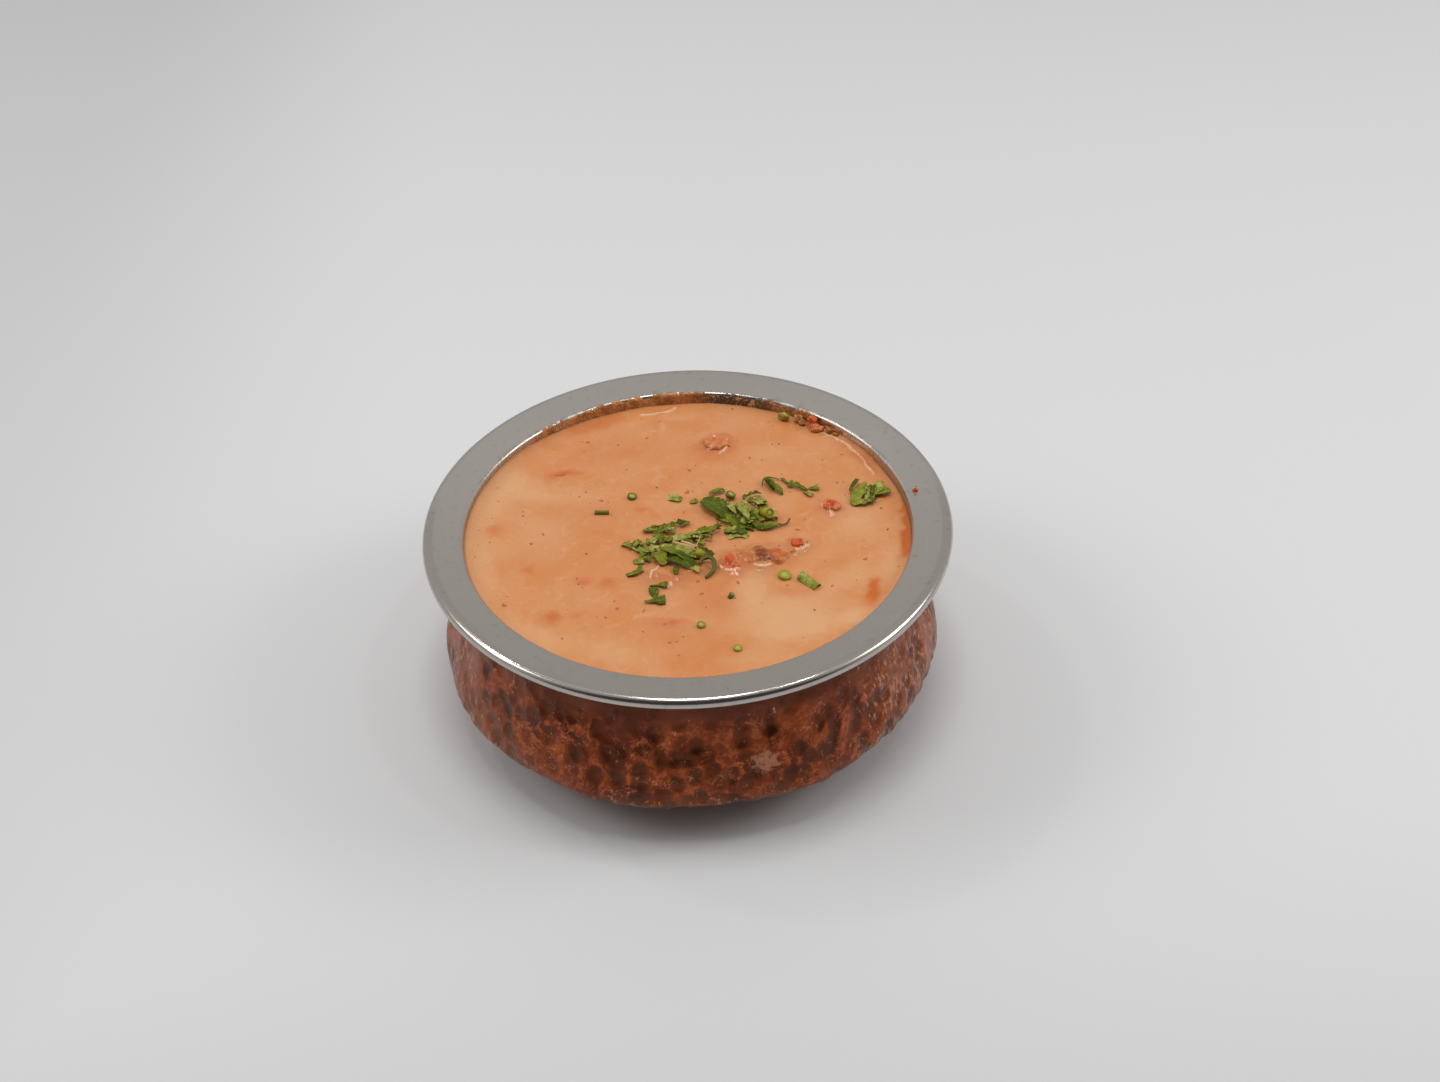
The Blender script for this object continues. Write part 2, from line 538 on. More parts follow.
def makeCopperShell():
    top, neck, soft = copperHigh.z, copperShell["smoothNeckAbove"], copperShell["fadeOut"]
    outer = potSection(0.0, pot["shellNeck"], top, rows=(58, 44))
    inner = potSection(pot["sheet"], pot["shellNeck"] - pot["sheet"], top, rows=(4, 4))
    foot = line(outer[-1], (0, 0), 8)
    points = [(0, pot["sheet"])] + inner[::-1] + outer + foot + [(0, 0)]
    outerZones = [min(1.0, max(0.0, (neck + soft / 2 - z) / soft)) for radius, z in outer]
    zones = [0.0] * (len(inner) + 1) + outerZones + [0.0] * (len(foot) + 1)
    flat = copperShell["flatFoot"]
    for index, (radius, z) in enumerate(points):
        if z < flat:
            zones[index] *= max(0.0, z / flat)
    sizes = {
        "Steps": copperShell["steps"],
        "Dent Pitch": copperShell["dentPitch"],
        "Dent Reach": copperShell["dentReach"],
        "Dent Depth": copperShell["dentDepth"],
        "Dent Stray": copperShell["dentStray"],
        "Wobble": copperShell["wobble"],
        "Seed": copperShell["seed"],
        "Material": copperMaterial(),
    }
    tree, group = newTree("hammered_shell", sizes)
    closeTree(tree, hammerSteps(tree, group, turnSteps(tree, group)), group["Material"])
    mesh = meshFromTree(sectionMesh("copper_section", points, zones), tree, sizes)
    newPiece("hammered_copper_shell", mesh, None, ["copper_shell"])


makeSteelBowl()
makeCopperShell()
print("bowl turned and hammered")


curry = {
    "rings": 140,
    "spokes": 600,
    "intoWall": 0.05 * mm,               # the sauce reaches just into the steel, so no gap shows
    "ripple": 0.16,                      # mm, gentle unevenness of the surface
    "meniscus": 0.35,                    # mm, rise at the wall
    "edgeLine": (0.85, 0.42),            # how dark the drying line at the wall is, and its width in mm
    # where the sauce clings higher on the wall: middle and half width in degrees, rise in mm
    "climbs": [(172.0, 44.0, 1.6), (-40.0, 30.0, 0.9), (36.0, 9.0, 0.8)],
    "foldHeight": 0.38,                  # mm
    "foldWidth": 0.26,                   # mm, from the middle of a fold to its foot
    "foldPaleness": 0.9,
    # skin wrinkled into a thin fold: start, middle and end, in mm
    "folds": [
        ((39.0, 42.0), (48.4, 35.0), (52.0, 21.5)),
        ((-12.5, 54.2), (-5.0, 54.8), (-2.0, 57.4)),
        ((17.0, -15.4), (18.7, -17.6), (20.9, -15.5)),
        ((26.5, -10.4), (28.5, -12.2), (31.1, -9.2)),
        ((-10.1, -19.4), (-9.3, -15.4), (-7.2, -14.2)),
        ((8.1, -16.2), (10.1, -18.9), (12.7, -17.5)),
        ((36.6, 7.8), (37.0, 4.8), (39.4, 3.9)),
        ((11.8, 38.8), (13.2, 35.7), (9.9, 33.4)),
    ],
    # what lies under the surface and lifts it: x, y, length, width, turn, height in mm and degrees
    "lumps": [
        (19.5, -12.2, 12.0, 4.6, 14, 0.60),
        (11.2, -14.4, 4.2, 4.4, 10, 1.0),
        (29.0, -8.4, 3.4, 3.2, 20, 1.1),
        (-6.0, -18.4, 8.6, 4.6, 4, 0.9),
        (-10.0, -17.0, 2.6, 2.2, 20, 0.45),
        (-4.6, -20.6, 2.4, 1.8, -10, 0.4),
        (1.6, -15.6, 3.6, 2.8, 0, 0.6),
        (9.3, 37.6, 5.6, 4.8, 30, 1.5),
        (39.0, 7.0, 4.0, 3.6, -30, 1.15),
        (18.4, -16.8, 1.5, 0.9, 0, 0.55),
        (-34.2, 27.2, 5.4, 2.6, 8, 0.35),
        (-52.0, 4.0, 3.2, 2.6, 20, 0.2),
        (-21.0, -19.6, 3.2, 2.2, 0, 0.25),
        (-35.0, -32.0, 2.6, 2.2, 0, 0.25),
        (-29.0, -32.5, 3.4, 1.8, 10, 0.2),
        (-8.0, -35.8, 4.2, 2.4, -10, 0.35),
        (-3.6, -36.6, 3.6, 2.2, 10, 0.45),
        (-25.0, -28.0, 3.0, 1.6, 15, 0.25),
        (46.8, -26.6, 2.2, 5.5, -14, 0.12),
    ],
    # patches of colour in the sauce: kind, x, y, length, width, turn, strength
    "patches": [
        ("oil", 58.6, 1.0, 1.3, 8.0, -1, 1.4),
        ("oil", 57.6, -9.0, 1.5, 7.0, -9, 1.5),
        ("oil", 46.4, -29.2, 2.0, 3.6, -14, 1.0),
        ("oil", 46.9, -24.4, 1.5, 2.4, 6, 0.8),
        ("oil", -52.0, 4.0, 2.6, 2.6, 0, 0.45),
        ("oil", -35.0, -32.0, 2.0, 2.4, 0, 0.7),
        ("oil", -21.0, -19.6, 2.6, 2.2, 0, 0.6),
        ("oil", -29.0, -32.0, 3.6, 1.6, 8, 0.35),
        ("oil", -47.0, -10.0, 8.0, 5.0, 20, 0.08),
        ("oil", 33.0, -47.6, 1.6, 0.9, 34, 0.9),
        ("oil", -26.0, 49.6, 9.0, 2.2, 24, 0.55),
        ("oil", 50.5, 27.0, 7.0, 1.6, -60, 0.5),
        ("broth", 18.0, -12.6, 10.5, 4.6, 12, 0.5),
        ("broth", 17.0, -8.4, 9.0, 1.5, 10, 0.45),
        ("broth", 11.0, -14.0, 4.6, 4.0, 0, 0.45),
        ("broth", 20.0, -17.4, 4.6, 2.4, 0, 0.35),
        ("broth", 29.0, -8.0, 3.6, 3.0, 10, 0.40),
        ("broth", -5.0, -19.0, 8.6, 4.0, 4, 0.62),
        ("broth", 2.4, -15.6, 3.6, 3.0, 0, 0.85),
        ("oil", 26.0, -26.5, 6.0, 2.6, -4, 0.3),
        ("oil", 4.5, -27.0, 5.0, 8.0, -40, 0.32),
        ("oil", -7.0, -41.0, 5.0, 4.0, 0, 0.2),
        ("oil", 0.0, 40.0, 22.0, 9.0, 0, 0.12),
        ("oil", -22.0, 8.0, 13.0, 8.0, 0, 0.2),
        ("oil", -24.0, 36.0, 12.0, 7.0, 10, 0.22),
        ("oil", 4.0, -48.0, 16.0, 7.0, 0, 0.12),
        ("oil", 8.5, -32.0, 4.0, 4.5, 0, 0.26),
        ("cream", 24.0, -34.0, 13.0, 7.5, 0, 1.0),
        ("cream", 15.5, -24.0, 3.6, 7.0, -10, 0.8),
        ("cream", 27.0, -41.0, 9.0, 4.0, 14, 0.8),
        ("cream", 40.0, -22.0, 9.0, 4.0, 30, 0.6),
        ("cream", 45.0, 2.0, 8.0, 10.0, 0, 0.6),
        ("cream", 52.0, -18.0, 3.0, 8.0, -16, 0.6),
        ("cream", 41.0, -37.0, 5.0, 3.0, 30, 0.9),
        ("cream", -44.0, 22.0, 5.0, 8.0, 30, 0.7),
        ("cream", -53.0, 16.0, 5.0, 18.0, -16, 0.8),
        ("cream", -54.0, -12.0, 3.5, 12.0, 12, 0.7),
        ("cream", -40.0, -38.0, 10.0, 3.5, -44, 0.6),
        ("cream", -33.0, 17.0, 12.0, 4.0, -10, 0.45),
        ("cream", -40.0, 3.0, 12.0, 7.0, 10, 0.35),
        ("cream", -26.0, -44.0, 16.0, 4.0, -28, 0.3),
        ("cream", -18.0, -46.0, 8.0, 5.0, -20, 0.4),
        ("cream", 16.0, -50.0, 8.0, 4.0, 10, 0.55),
        ("cream", 17.0, -42.0, 6.0, 4.0, 0, 0.4),
        ("cream", 21.0, 34.0, 7.0, 5.0, 0, 0.4),
        ("cream", -7.0, 12.0, 6.0, 4.0, 0, 0.35),
        ("cream", -50.0, -6.0, 4.0, 5.0, 0, 0.3),
        ("red", -34.2, 27.4, 4.6, 1.4, 8, 0.8),
        ("red", -12.0, 10.6, 2.2, 1.4, -20, 0.55),
        ("red", -8.5, 7.5, 2.6, 1.6, -20, 0.3),
        ("red", -27.4, -18.7, 2.0, 1.6, 0, 0.7),
        ("red", -42.5, -13.0, 2.0, 1.3, 10, 0.45),
        ("red", -8.0, -35.8, 4.0, 2.2, -10, 0.35),
        ("red", -3.8, -36.4, 3.0, 1.6, 12, 0.5),
        ("red", 9.3, 37.4, 5.4, 4.2, 30, 0.6),
        ("red", 39.0, 7.4, 4.2, 3.4, -30, 0.6),
        ("red", 11.8, -14.6, 4.6, 3.6, 12, 0.6),
        ("red", 23.6, -12.8, 3.4, 3.0, 0, 0.4),
        ("red", -6.0, -19.0, 6.0, 3.4, 8, 0.3),
    ],
}


def spot(x, y, patch, blur=1.0):         # 1 in the middle of an oval patch, falling softly to 0
    centreX, centreY, along, across, turn = patch
    dx, dy = x - centreX, y - centreY
    if abs(dx) + abs(dy) > 3.2 * (along + across):
        return 0.0
    c, s = math.cos(math.radians(turn)), math.sin(math.radians(turn))
    u, v = (dx * c + dy * s) / along, (dy * c - dx * s) / across
    return math.exp(-(u * u + v * v) ** blur)


def nearLine(x, y, start, middle, end):    # 1 along a curved line through three points, 0 a little way off it
    if math.dist((x, y), middle) > 2.0 + max(math.dist(start, middle), math.dist(middle, end)):
        return 0.0
    x += 0.7 * noise.noise(Vector((x / 2.6, y / 2.6, 1.0)))
    y += 0.7 * noise.noise(Vector((x / 2.6, y / 2.6, 6.0)))
    best = 9.0
    for step in range(61):
        t = step / 60
        lineX = start[0] * (1 - t) ** 2 + 2 * middle[0] * t * (1 - t) + end[0] * t * t
        lineY = start[1] * (1 - t) ** 2 + 2 * middle[1] * t * (1 - t) + end[1] * t * t
        best = min(best, math.hypot(x - lineX, y - lineY))
    return math.exp(-(best / curry["foldWidth"]) ** 2)


def sauceHeight(x, y):                   # mm above the flat level, at x and y in mm
    here = Vector((x, y, 0.0))
    height = curry["ripple"] * (noise.noise(here / 13.0) + 0.45 * noise.noise(here / 4.5) - 0.3)
    for *patch, rise in curry["lumps"]:
        uneven = 1.0 + 0.45 * noise.noise(here / 2.2) + 0.30 * noise.noise(here / 0.9)
        height += rise * spot(x, y, patch, 1.4) * uneven
    for start, middle, end in curry["folds"]:
        height += curry["foldHeight"] * nearLine(x, y, start, middle, end)
    wall = max(pot["openingRadius"] / mm - math.hypot(x, y), 0.0)
    degrees = math.degrees(math.atan2(y, x))
    climb = 0.0
    for middle, width, rise in curry["climbs"]:
        off = min(abs(degrees - middle), 360 - abs(degrees - middle))
        climb = max(climb, rise * math.exp(-(off / width) ** 4))
    return height + curry["meniscus"] * math.exp(-wall / 1.1) + climb * math.exp(-wall / 1.9)


def sauceTop(x, y):                      # metres, for anything laid on the sauce
    return sauceLevel + sauceHeight(x, y) * mm


# gravy colours; the marks are what is painted on it patch by patch
sauceMarks = ("cream", "broth", "red", "oil", "skin", "dried")
gravy = {
    "middle": "d3905e",
    "warm": "d0864f",
    "cream": "d8a273",
    "grain": "c17740",
    "red": "cb5f3a",
    "broth": "b87440",
    "oil": "c4621f",
    "skin": "f4d2b0",
    "dried": "8e6440",
}


def sauceMaterial():
    # butter and tomato gravy, simmered and strained: opaque, faintly grainy and wet, with oil at the edge
    patterns = {
        "masses": (16.0, 3.0, 0.5, 1.2),
        "swirl": (6.0, 3.0, 0.55, 2.5),
        "grain": (1.1, 3.0, 0.6, 0.0),
    }
    material, tree, shader, look = newMaterial("simmered_tomato_cream_gravy", patterns, sauceMarks, IOR=1.42,
                                               Subsurface_Weight=0.18, Subsurface_Scale=1.6 * mm,
                                               Subsurface_Radius=(1.0, 0.45, 0.2))
    layers = [
        (look.masses, (0.35, 0.68), 1.0, gravy["warm"]),
        (look.swirl, (0.52, 0.75), 0.5, gravy["cream"]),
        (look.grain, (0.5, 0.85), 0.22, gravy["grain"]),
    ]
    edge = addNode(tree, "ShaderNodeMath", look.swirl, 0.5, operation="SUBTRACT")
    edge = addNode(tree, "ShaderNodeMath", edge, 0.5, operation="MULTIPLY")
    for kind in sauceMarks:
        mark = getattr(look, kind)
        amount = addNode(tree, "ShaderNodeMath", edge, mark, mark, operation="MULTIPLY_ADD")
        amount = addNode(tree, "ShaderNodeMath", amount, 1.0, operation="MINIMUM")
        layers.append((amount, None, 1.0, gravy[kind]))
    wet = addNode(tree, "ShaderNodeMath", look.oil, -0.08, 0.16, operation="MULTIPLY_ADD")
    finishSurface(tree, shader, gravy["middle"], layers, wet, look.grain, 0.05)
    return material


def makeSauce():
    mesh = bpy.data.meshes.new("curry")
    shape = bmesh.new()
    layers = {kind: shape.verts.layers.float.new(kind) for kind in sauceMarks}
    rings, spokes = curry["rings"], curry["spokes"]
    darkness, lineWidth = curry["edgeLine"]
    edgeRadius = pot["openingRadius"] + curry["intoWall"]
    around = [math.tau * spoke / spokes for spoke in range(spokes)]
    centre = shape.verts.new((0, 0, sauceTop(0, 0)))
    rows = []
    for ring in range(1, rings + 1):
        radius = edgeRadius * ring / rings
        row = []
        for angle in around:
            x, y = radius * math.cos(angle), radius * math.sin(angle)
            vertex = shape.verts.new((x, y, sauceTop(x / mm, y / mm)))
            here = Vector((x / mm, y / mm, 3.0))
            warpX = x / mm + 1.1 * noise.noise(here / 2.2)
            warpY = y / mm + 1.1 * noise.noise(here / 2.2 + Vector((7, 7, 7)))
            for kind, *patch, strength in curry["patches"]:
                vertex[layers[kind]] += strength * spot(warpX, warpY, patch, 1.3)
            for start, middle, end in curry["folds"]:
                vertex[layers["skin"]] += curry["foldPaleness"] * nearLine(x / mm, y / mm, start, middle, end)
            vertex[layers["dried"]] = darkness * math.exp(-((edgeRadius - radius) / mm / lineWidth) ** 2)
            row.append(vertex)
        rows.append(row)
    inset = pot["sheet"] * 2 + pot["skinGap"] - curry["intoWall"]
    below = potSection(inset, edgeRadius, pot["neckHeight"] + 1.0 * mm, rows=(8, 8))
    for radius, height in below:
        rows.append([shape.verts.new((radius * math.cos(a), radius * math.sin(a), height)) for a in around])
    bottom = shape.verts.new((0, 0, inset))
    for s in range(spokes):
        t = (s + 1) % spokes
        shape.faces.new((centre, rows[0][s], rows[0][t]))
        for above, under in zip(rows, rows[1:]):
            shape.faces.new((above[s], under[s], under[t], above[t]))
        shape.faces.new((rows[-1][s], bottom, rows[-1][t]))
    shape.to_mesh(mesh)
    shape.free()
    newPiece("curry_gravy", mesh, sauceMaterial(), ["curry_sauce"])


makeSauce()
print("curry poured")


def blobMesh(name, solids, voxel, smoothing):
    # solids are ("ball" or "dice", centre, size, turn, roll) in mm; they are merged into one skin
    shape = bmesh.new()
    for kind, centre, size, turn, roll in solids:
        place = Matrix.Translation(Vector(centre) * mm) @ Matrix.Rotation(math.radians(turn), 4, "Z")
        place = place @ Matrix.Rotation(math.radians(roll), 4, "X")
        place = place @ Matrix.Diagonal((*[s * mm / 2 for s in size], 1))
        if kind == "ball":
            bmesh.ops.create_icosphere(shape, subdivisions=3, radius=1.0, matrix=place)
        else:
            bmesh.ops.create_cube(shape, size=2.0, matrix=place)
    mesh = bpy.data.meshes.new(name)
    shape.to_mesh(mesh)
    shape.free()
    carrier = bpy.data.objects.new(name, mesh)
    bpy.context.scene.collection.objects.link(carrier)
    skin = carrier.modifiers.new("merge", "REMESH")
    skin.mode = "VOXEL"
    skin.voxel_size = voxel * mm
    soften = carrier.modifiers.new("soften", "SMOOTH")
    soften.iterations = smoothing
    soften.factor = 0.6
    merged = bpy.data.meshes.new_from_object(carrier.evaluated_get(bpy.context.evaluated_depsgraph_get()))
    bpy.data.objects.remove(carrier)
    return merged


def roughen(mesh, seed, coarse, coarseSize, fine, fineSize):    # uneven surface, sizes in mm
    mesh.update()
    shift = Vector((seed * 3.7, seed * 1.3, seed * 2.1))
    normals = [vertex.normal.copy() for vertex in mesh.vertices]
    for vertex, normal in zip(mesh.vertices, normals):
        here = vertex.co / mm + shift
        push = coarse * noise.noise(here / coarseSize) + fine * noise.noise(here / fineSize)
        vertex.co += normal * push * mm


def paint(mesh, name, patches):          # values on a mesh, from round patches of x, y, radius and strength
    values = []
    for vertex in mesh.vertices:
        warp = 0.7 * noise.noise(vertex.co / mm / 0.9)
        x, y = vertex.co.x / mm + warp, vertex.co.y / mm - warp
        total = sum(strength * spot(x, y, (px, py, r, r, 0)) for px, py, r, strength in patches)
        values.append(min(1.0, total))
    mesh.attributes.new(name, "FLOAT", "POINT").data.foreach_set("value", values)


def paintBare(mesh, low, high):          # 0 where sauce laps up, 1 where a piece stands clear of it, in mm
    rise = [(v.co.z - sauceTop(v.co.x / mm, v.co.y / mm)) / mm for v in mesh.vertices]
    values = [min(1.0, max(0.0, (r - low) / (high - low))) for r in rise]
    mesh.attributes.new("bare", "FLOAT", "POINT").data.foreach_set("value", values)


def chickenMaterial():
    # roast chicken simmered in the gravy: pinkish tan fibres under a wet coat, charred in places
    patterns = {"fibres": (1.4, 4.0, 0.6, 0.0), "pores": (0.6, 3.0, 0.6, 0.0)}
    marks = ("red", "bare", "char")
    material, tree, shader, look = newMaterial("gravy_coated_roast_chicken", patterns, marks, IOR=1.42,
                                               Subsurface_Weight=0.15, Subsurface_Scale=1.0 * mm,
                                               Subsurface_Radius=(1.0, 0.4, 0.2))
    uneven = addNode(tree, "ShaderNodeMath", look.fibres, 0.5, operation="SUBTRACT")
    coated = addNode(tree, "ShaderNodeMath", uneven, 0.6, look.bare, operation="MULTIPLY_ADD")
    burnt = overlap(tree, (look.char,), (look.fibres, 0.2, 0.5))
    layers = [
        (look.fibres, (0.35, 0.7), 1.0, "ae5c2a"),
        (look.pores, (0.55, 0.8), 0.3, "a65e34"),
        (look.red, None, 1.0, "c4591f"),
        (coated, (0.75, 0.05), 1.0, "cf8852"),
        (burnt, None, 0.85, "702c06"),
    ]
    wet = addNode(tree, "ShaderNodeMath", look.fibres, 0.10, 0.03, operation="MULTIPLY_ADD")
    wet = addNode(tree, "ShaderNodeMath", burnt, 0.102, wet, operation="MULTIPLY_ADD")
    finishSurface(tree, shader, "c4743e", layers, wet, look.pores, 0.08)
    return material


def tomatoMaterial():
    # cooked tomato flesh: wet, half clear at thin rims, deeper red in the middle
    patterns = {"pulp": (1.8, 3.0, 0.55, 0.0), "coat": (2.6, 2.0, 0.5, 0.0)}
    material, tree, shader, look = newMaterial("stewed_tomato_flesh", patterns, ("flesh",), IOR=1.38,
                                               Subsurface_Weight=0.4, Subsurface_Scale=1.2 * mm,
                                               Subsurface_Radius=(1.0, 0.3, 0.12))
    uneven = addNode(tree, "ShaderNodeMath", look.coat, 0.5, operation="SUBTRACT")
    bare = addNode(tree, "ShaderNodeMath", uneven, 1.2, look.flesh, operation="MULTIPLY_ADD")
    wet = addNode(tree, "ShaderNodeMath", look.pulp, 0.10, 0.03, operation="MULTIPLY_ADD")
    layers = [(look.pulp, (0.35, 0.7), 1.0, "ba461a"), (bare, (0.7, 0.1), 1.0, "cf8450")]
    finishSurface(tree, shader, "d0602a", layers, wet, look.pulp, 0.16)
    return material


# lumps merged into each piece: kind, centre, size, turn and roll in mm and degrees
chicken = {
    "chicken_piece_1": [
        ("ball", (20.4, -12.2, 45.8), (20.5, 8.4, 8.6), 14, 0),
        ("ball", (15.0, -12.8, 48.4), (6.6, 5.6, 3.8), 20, 0),
        ("ball", (17.9, -10.2, 48.6), (4.4, 3.6, 2.8), 0, 0),
        ("ball", (19.8, -11.8, 48.6), (3.2, 4.6, 3.6), 0, 0),
        ("ball", (23.4, -12.6, 48.4), (6.2, 6.2, 3.8), 10, 0),
        ("ball", (26.8, -10.4, 48.2), (6.0, 4.2, 3.6), 20, 0),
        ("ball", (29.6, -8.6, 48.0), (5.0, 4.0, 4.0), 20, 0),
    ],
    "chicken_piece_2": [
        ("ball", (-7.0, -18.0, 46.4), (14.6, 8.8, 6.8), 8, 0),
        ("ball", (-9.2, -17.6, 48.3), (5.4, 4.0, 3.0), 20, 0),
        ("ball", (-5.2, -18.8, 48.3), (4.6, 3.6, 3.0), -10, 0),
        ("ball", (-1.6, -17.2, 48.0), (3.6, 3.2, 2.6), 0, 0),
    ],
}
# patches on the chicken: x, y, radius in mm and strength
charred = [
    (18.3, -11.4, 1.1, 1.4),
    (18.8, -13.7, 1.1, 1.4),
    (20.8, -13.5, 1.0, 1.3),
    (17.5, -8.6, 0.9, 0.9),
    (19.8, -11.4, 1.8, 0.55),
    (18.2, -7.2, 0.5, 0.8),
    (16.6, -9.6, 0.5, 0.6),
]
reddened = [
    (22.2, -13.4, 1.2, 0.6),
    (23.6, -12.8, 1.5, 0.7),
    (26.6, -10.4, 1.7, 0.75),
    (14.6, -12.6, 1.3, 0.4),
    (19.0, -12.6, 0.6, 0.6),
]


def makeChicken():
    material = chickenMaterial()
    for seed, (node, solids) in enumerate(chicken.items()):
        mesh = blobMesh(node, solids, voxel=0.3, smoothing=6)
        roughen(mesh, seed, coarse=0.75, coarseSize=2.3, fine=0.10, fineSize=0.8)
        paint(mesh, "char", charred)
        paint(mesh, "red", reddened)
        paintBare(mesh, 0.15, 1.1)
        newPiece("gravy_coated_" + node, mesh, material, [node])


# blocks merged into each piece, in mm; then turn and roll in degrees, and how bare of gravy the piece is
tomato = {
    "tomato_piece_1": ([
        (0.3, 0.2, -0.2, 3.2, 4.6, 4.0),
        (-0.4, -1.3, -0.6, 4.4, 2.4, 3.4),
    ], 12, 8, 1.15),
    "tomato_piece_2": ([
        (-0.4, 0.3, -0.4, 3.1, 3.0, 4.2),
    ], 4, 4, 1.5),
    "tomato_piece_3": ([
        (-1.0, 0.8, 1.05, 5.6, 3.6, 3.8),
        (1.3, -0.9, 0.85, 4.0, 3.4, 3.6),
        (-1.4, -1.4, 0.6, 3.0, 2.6, 3.4),
    ], 24, 12, 0.5),
    "tomato_piece_4": ([
        (-0.4, 0.5, 0.65, 3.4, 3.1, 3.4),
        (1.0, -0.8, 0.45, 2.4, 2.2, 2.8),
        (-0.9, -0.7, 0.25, 2.2, 2.0, 2.8),
    ], -40, 6, 0.85),
    "tomato_piece_5": ([
        (-0.6, -0.1, 0.0, 3.6, 1.3, 2.8),
        (1.6, 0.3, -0.1, 2.6, 1.0, 2.6),
    ], 8, 10, 0.4),
}


def makeTomato():
    material = tomatoMaterial()
    for seed, (node, (blocks, turn, roll, bare)) in enumerate(tomato.items()):
        low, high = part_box(node)
        middle = Vector(((low.x + high.x) / 2, (low.y + high.y) / 2, high.z)) / mm
        solids = []
        for x, y, z, length, width, height in blocks:
            centre = middle + Vector((x, y, z - height / 2 - 0.3))
            solids.append(("dice", centre, (length, width, height), turn, roll))
        mesh = blobMesh(node, solids, voxel=0.2, smoothing=34)
        roughen(mesh, seed + 5, coarse=0.7, coarseSize=2.0, fine=0.12, fineSize=0.6)
        paint(mesh, "flesh", [(middle.x - 0.4, middle.y - 0.6, 2.0, bare)])
        newPiece("stewed_" + node, mesh, material, [node])
    return material


makeChicken()
tomatoFlesh = makeTomato()
print("chicken and tomato placed")


wallFilm = {
    "stepsAround": 420,
    "stepsUp": 22,
    "start": 22.0,                       # degrees around from +X
    "end": 142.0,
    "foot": 48.6 * mm,                   # hidden below the sauce
    "thickest": 0.30 * mm,
    "sunk": 0.12 * mm,                   # where nothing has dried on, the film lies this deep in the steel
    "back": 0.35 * mm,                   # its back is this deep in the steel
    "ontoFlange": 0.92,                  # how much of the corner's bend it covers
    # where it has dried on: middle angle, half width in degrees, amount
    "runs": [
        (91.0, 9.0, 1.35),
        (110.0, 14.0, 0.9),
        (126.0, 9.0, 0.7),
        (66.0, 3.4, 1.1),
        (54.0, 5.0, 0.9),
        (44.0, 3.0, 0.45),
        (29.0, 3.0, 0.25),
        (77.0, 6.0, 0.75),
    ],
    "greasy": (74.0, 11.0),              # middle and half width of the dark, thin part
}


def filmPath():
    # up the neck wall and round the corner to the flange: radius, height, and the way off the wall
    low, high = wallFilm["foot"], cornerCentre[1]
    straightRows = 10
    bendRows = wallFilm["stepsUp"] - straightRows
    path = []
    for row in range(straightRows):
        path.append((pot["openingRadius"], low + (high - low) * row / straightRows, -1.0, 0.0))
    turn = (pot["flangeSlope"] - math.pi / 2) * wallFilm["ontoFlange"]
    for row in range(bendRows + 1):
        angle = math.pi + turn * row / bendRows
        outward, upward = math.cos(angle), math.sin(angle)
        path.append((cornerCentre[0] + pot["cornerRadius"] * outward,
                     cornerCentre[1] + pot["cornerRadius"] * upward, outward, upward))
    return path


def filmMaterial():
    # dried gravy: brown and orange, thin enough to break up into spatters at its top
    patterns = {"cloud": (3.0, 4.0, 0.6, 0.0), "grit": (0.7, 3.0, 0.6, 0.0)}
    material, tree, shader, look = newMaterial("dried_gravy_film", patterns, ("greasy",), IOR=1.45)
    layers = [
        (look.cloud, (0.35, 0.65), 1.0, "9c602f"),
        (look.greasy, None, 1.0, "4c453b"),
        (look.grit, (0.5, 0.72), 0.7, "dbae7c"),
    ]
    rough = addNode(tree, "ShaderNodeMath", look.grit, 0.3, 0.02, operation="MULTIPLY_ADD")
    finishSurface(tree, shader, "cc8a54", layers, rough, look.grit, 0.24)
    return material


def makeWallFilm():
    path = filmPath()
    shape = bmesh.new()
    skinRows = []
    greasy = []
    greasyMiddle, greasyWidth = wallFilm["greasy"]
    for step in range(wallFilm["stepsAround"] + 1):
        degrees = wallFilm["start"] + (wallFilm["end"] - wallFilm["start"]) * step / wallFilm["stepsAround"]
        angle = math.radians(degrees)
        cover = max(a * math.exp(-abs((degrees - m) / w) ** 3) for m, w, a in wallFilm["runs"])
        front, back = [], []
        for level, (radius, height, outward, upward) in enumerate(path):
            share = level / (len(path) - 1)
            here = Vector((degrees * 1.05, height / mm * 1.2, 2.0))
            rough = 0.9 * noise.noise(here / 2.7) + 0.8 * noise.noise(here / 0.9)
            thick = (cover - share + 0.75 * rough) * wallFilm["thickest"]
            thick = max(min(thick, wallFilm["thickest"]), -wallFilm["sunk"])
            for row, depth in ((front, thick), (back, -wallFilm["back"])):
                r, z = radius + outward * depth, height + upward * depth
                row.append(shape.verts.new((r * math.cos(angle), r * math.sin(angle), z)))
                greasy.append(math.exp(-((degrees - greasyMiddle) / greasyWidth) ** 4))
        skinRows.append(front + back[::-1])
    count = len(skinRows[0])
    for first, second in zip(skinRows, skinRows[1:]):
        for index in range(count):
            after = (index + 1) % count
            shape.faces.new((first[index], first[after], second[after], second[index]))
    shape.faces.new(skinRows[0][::-1])
    shape.faces.new(skinRows[-1])
    bmesh.ops.recalc_face_normals(shape, faces=shape.faces)
    mesh = bpy.data.meshes.new("wall_film")
    shape.to_mesh(mesh)
    shape.free()
    mesh.attributes.new("greasy", "FLOAT", "POINT").data.foreach_set("value", greasy)
    newPiece("dried_gravy_on_wall", mesh, filmMaterial())


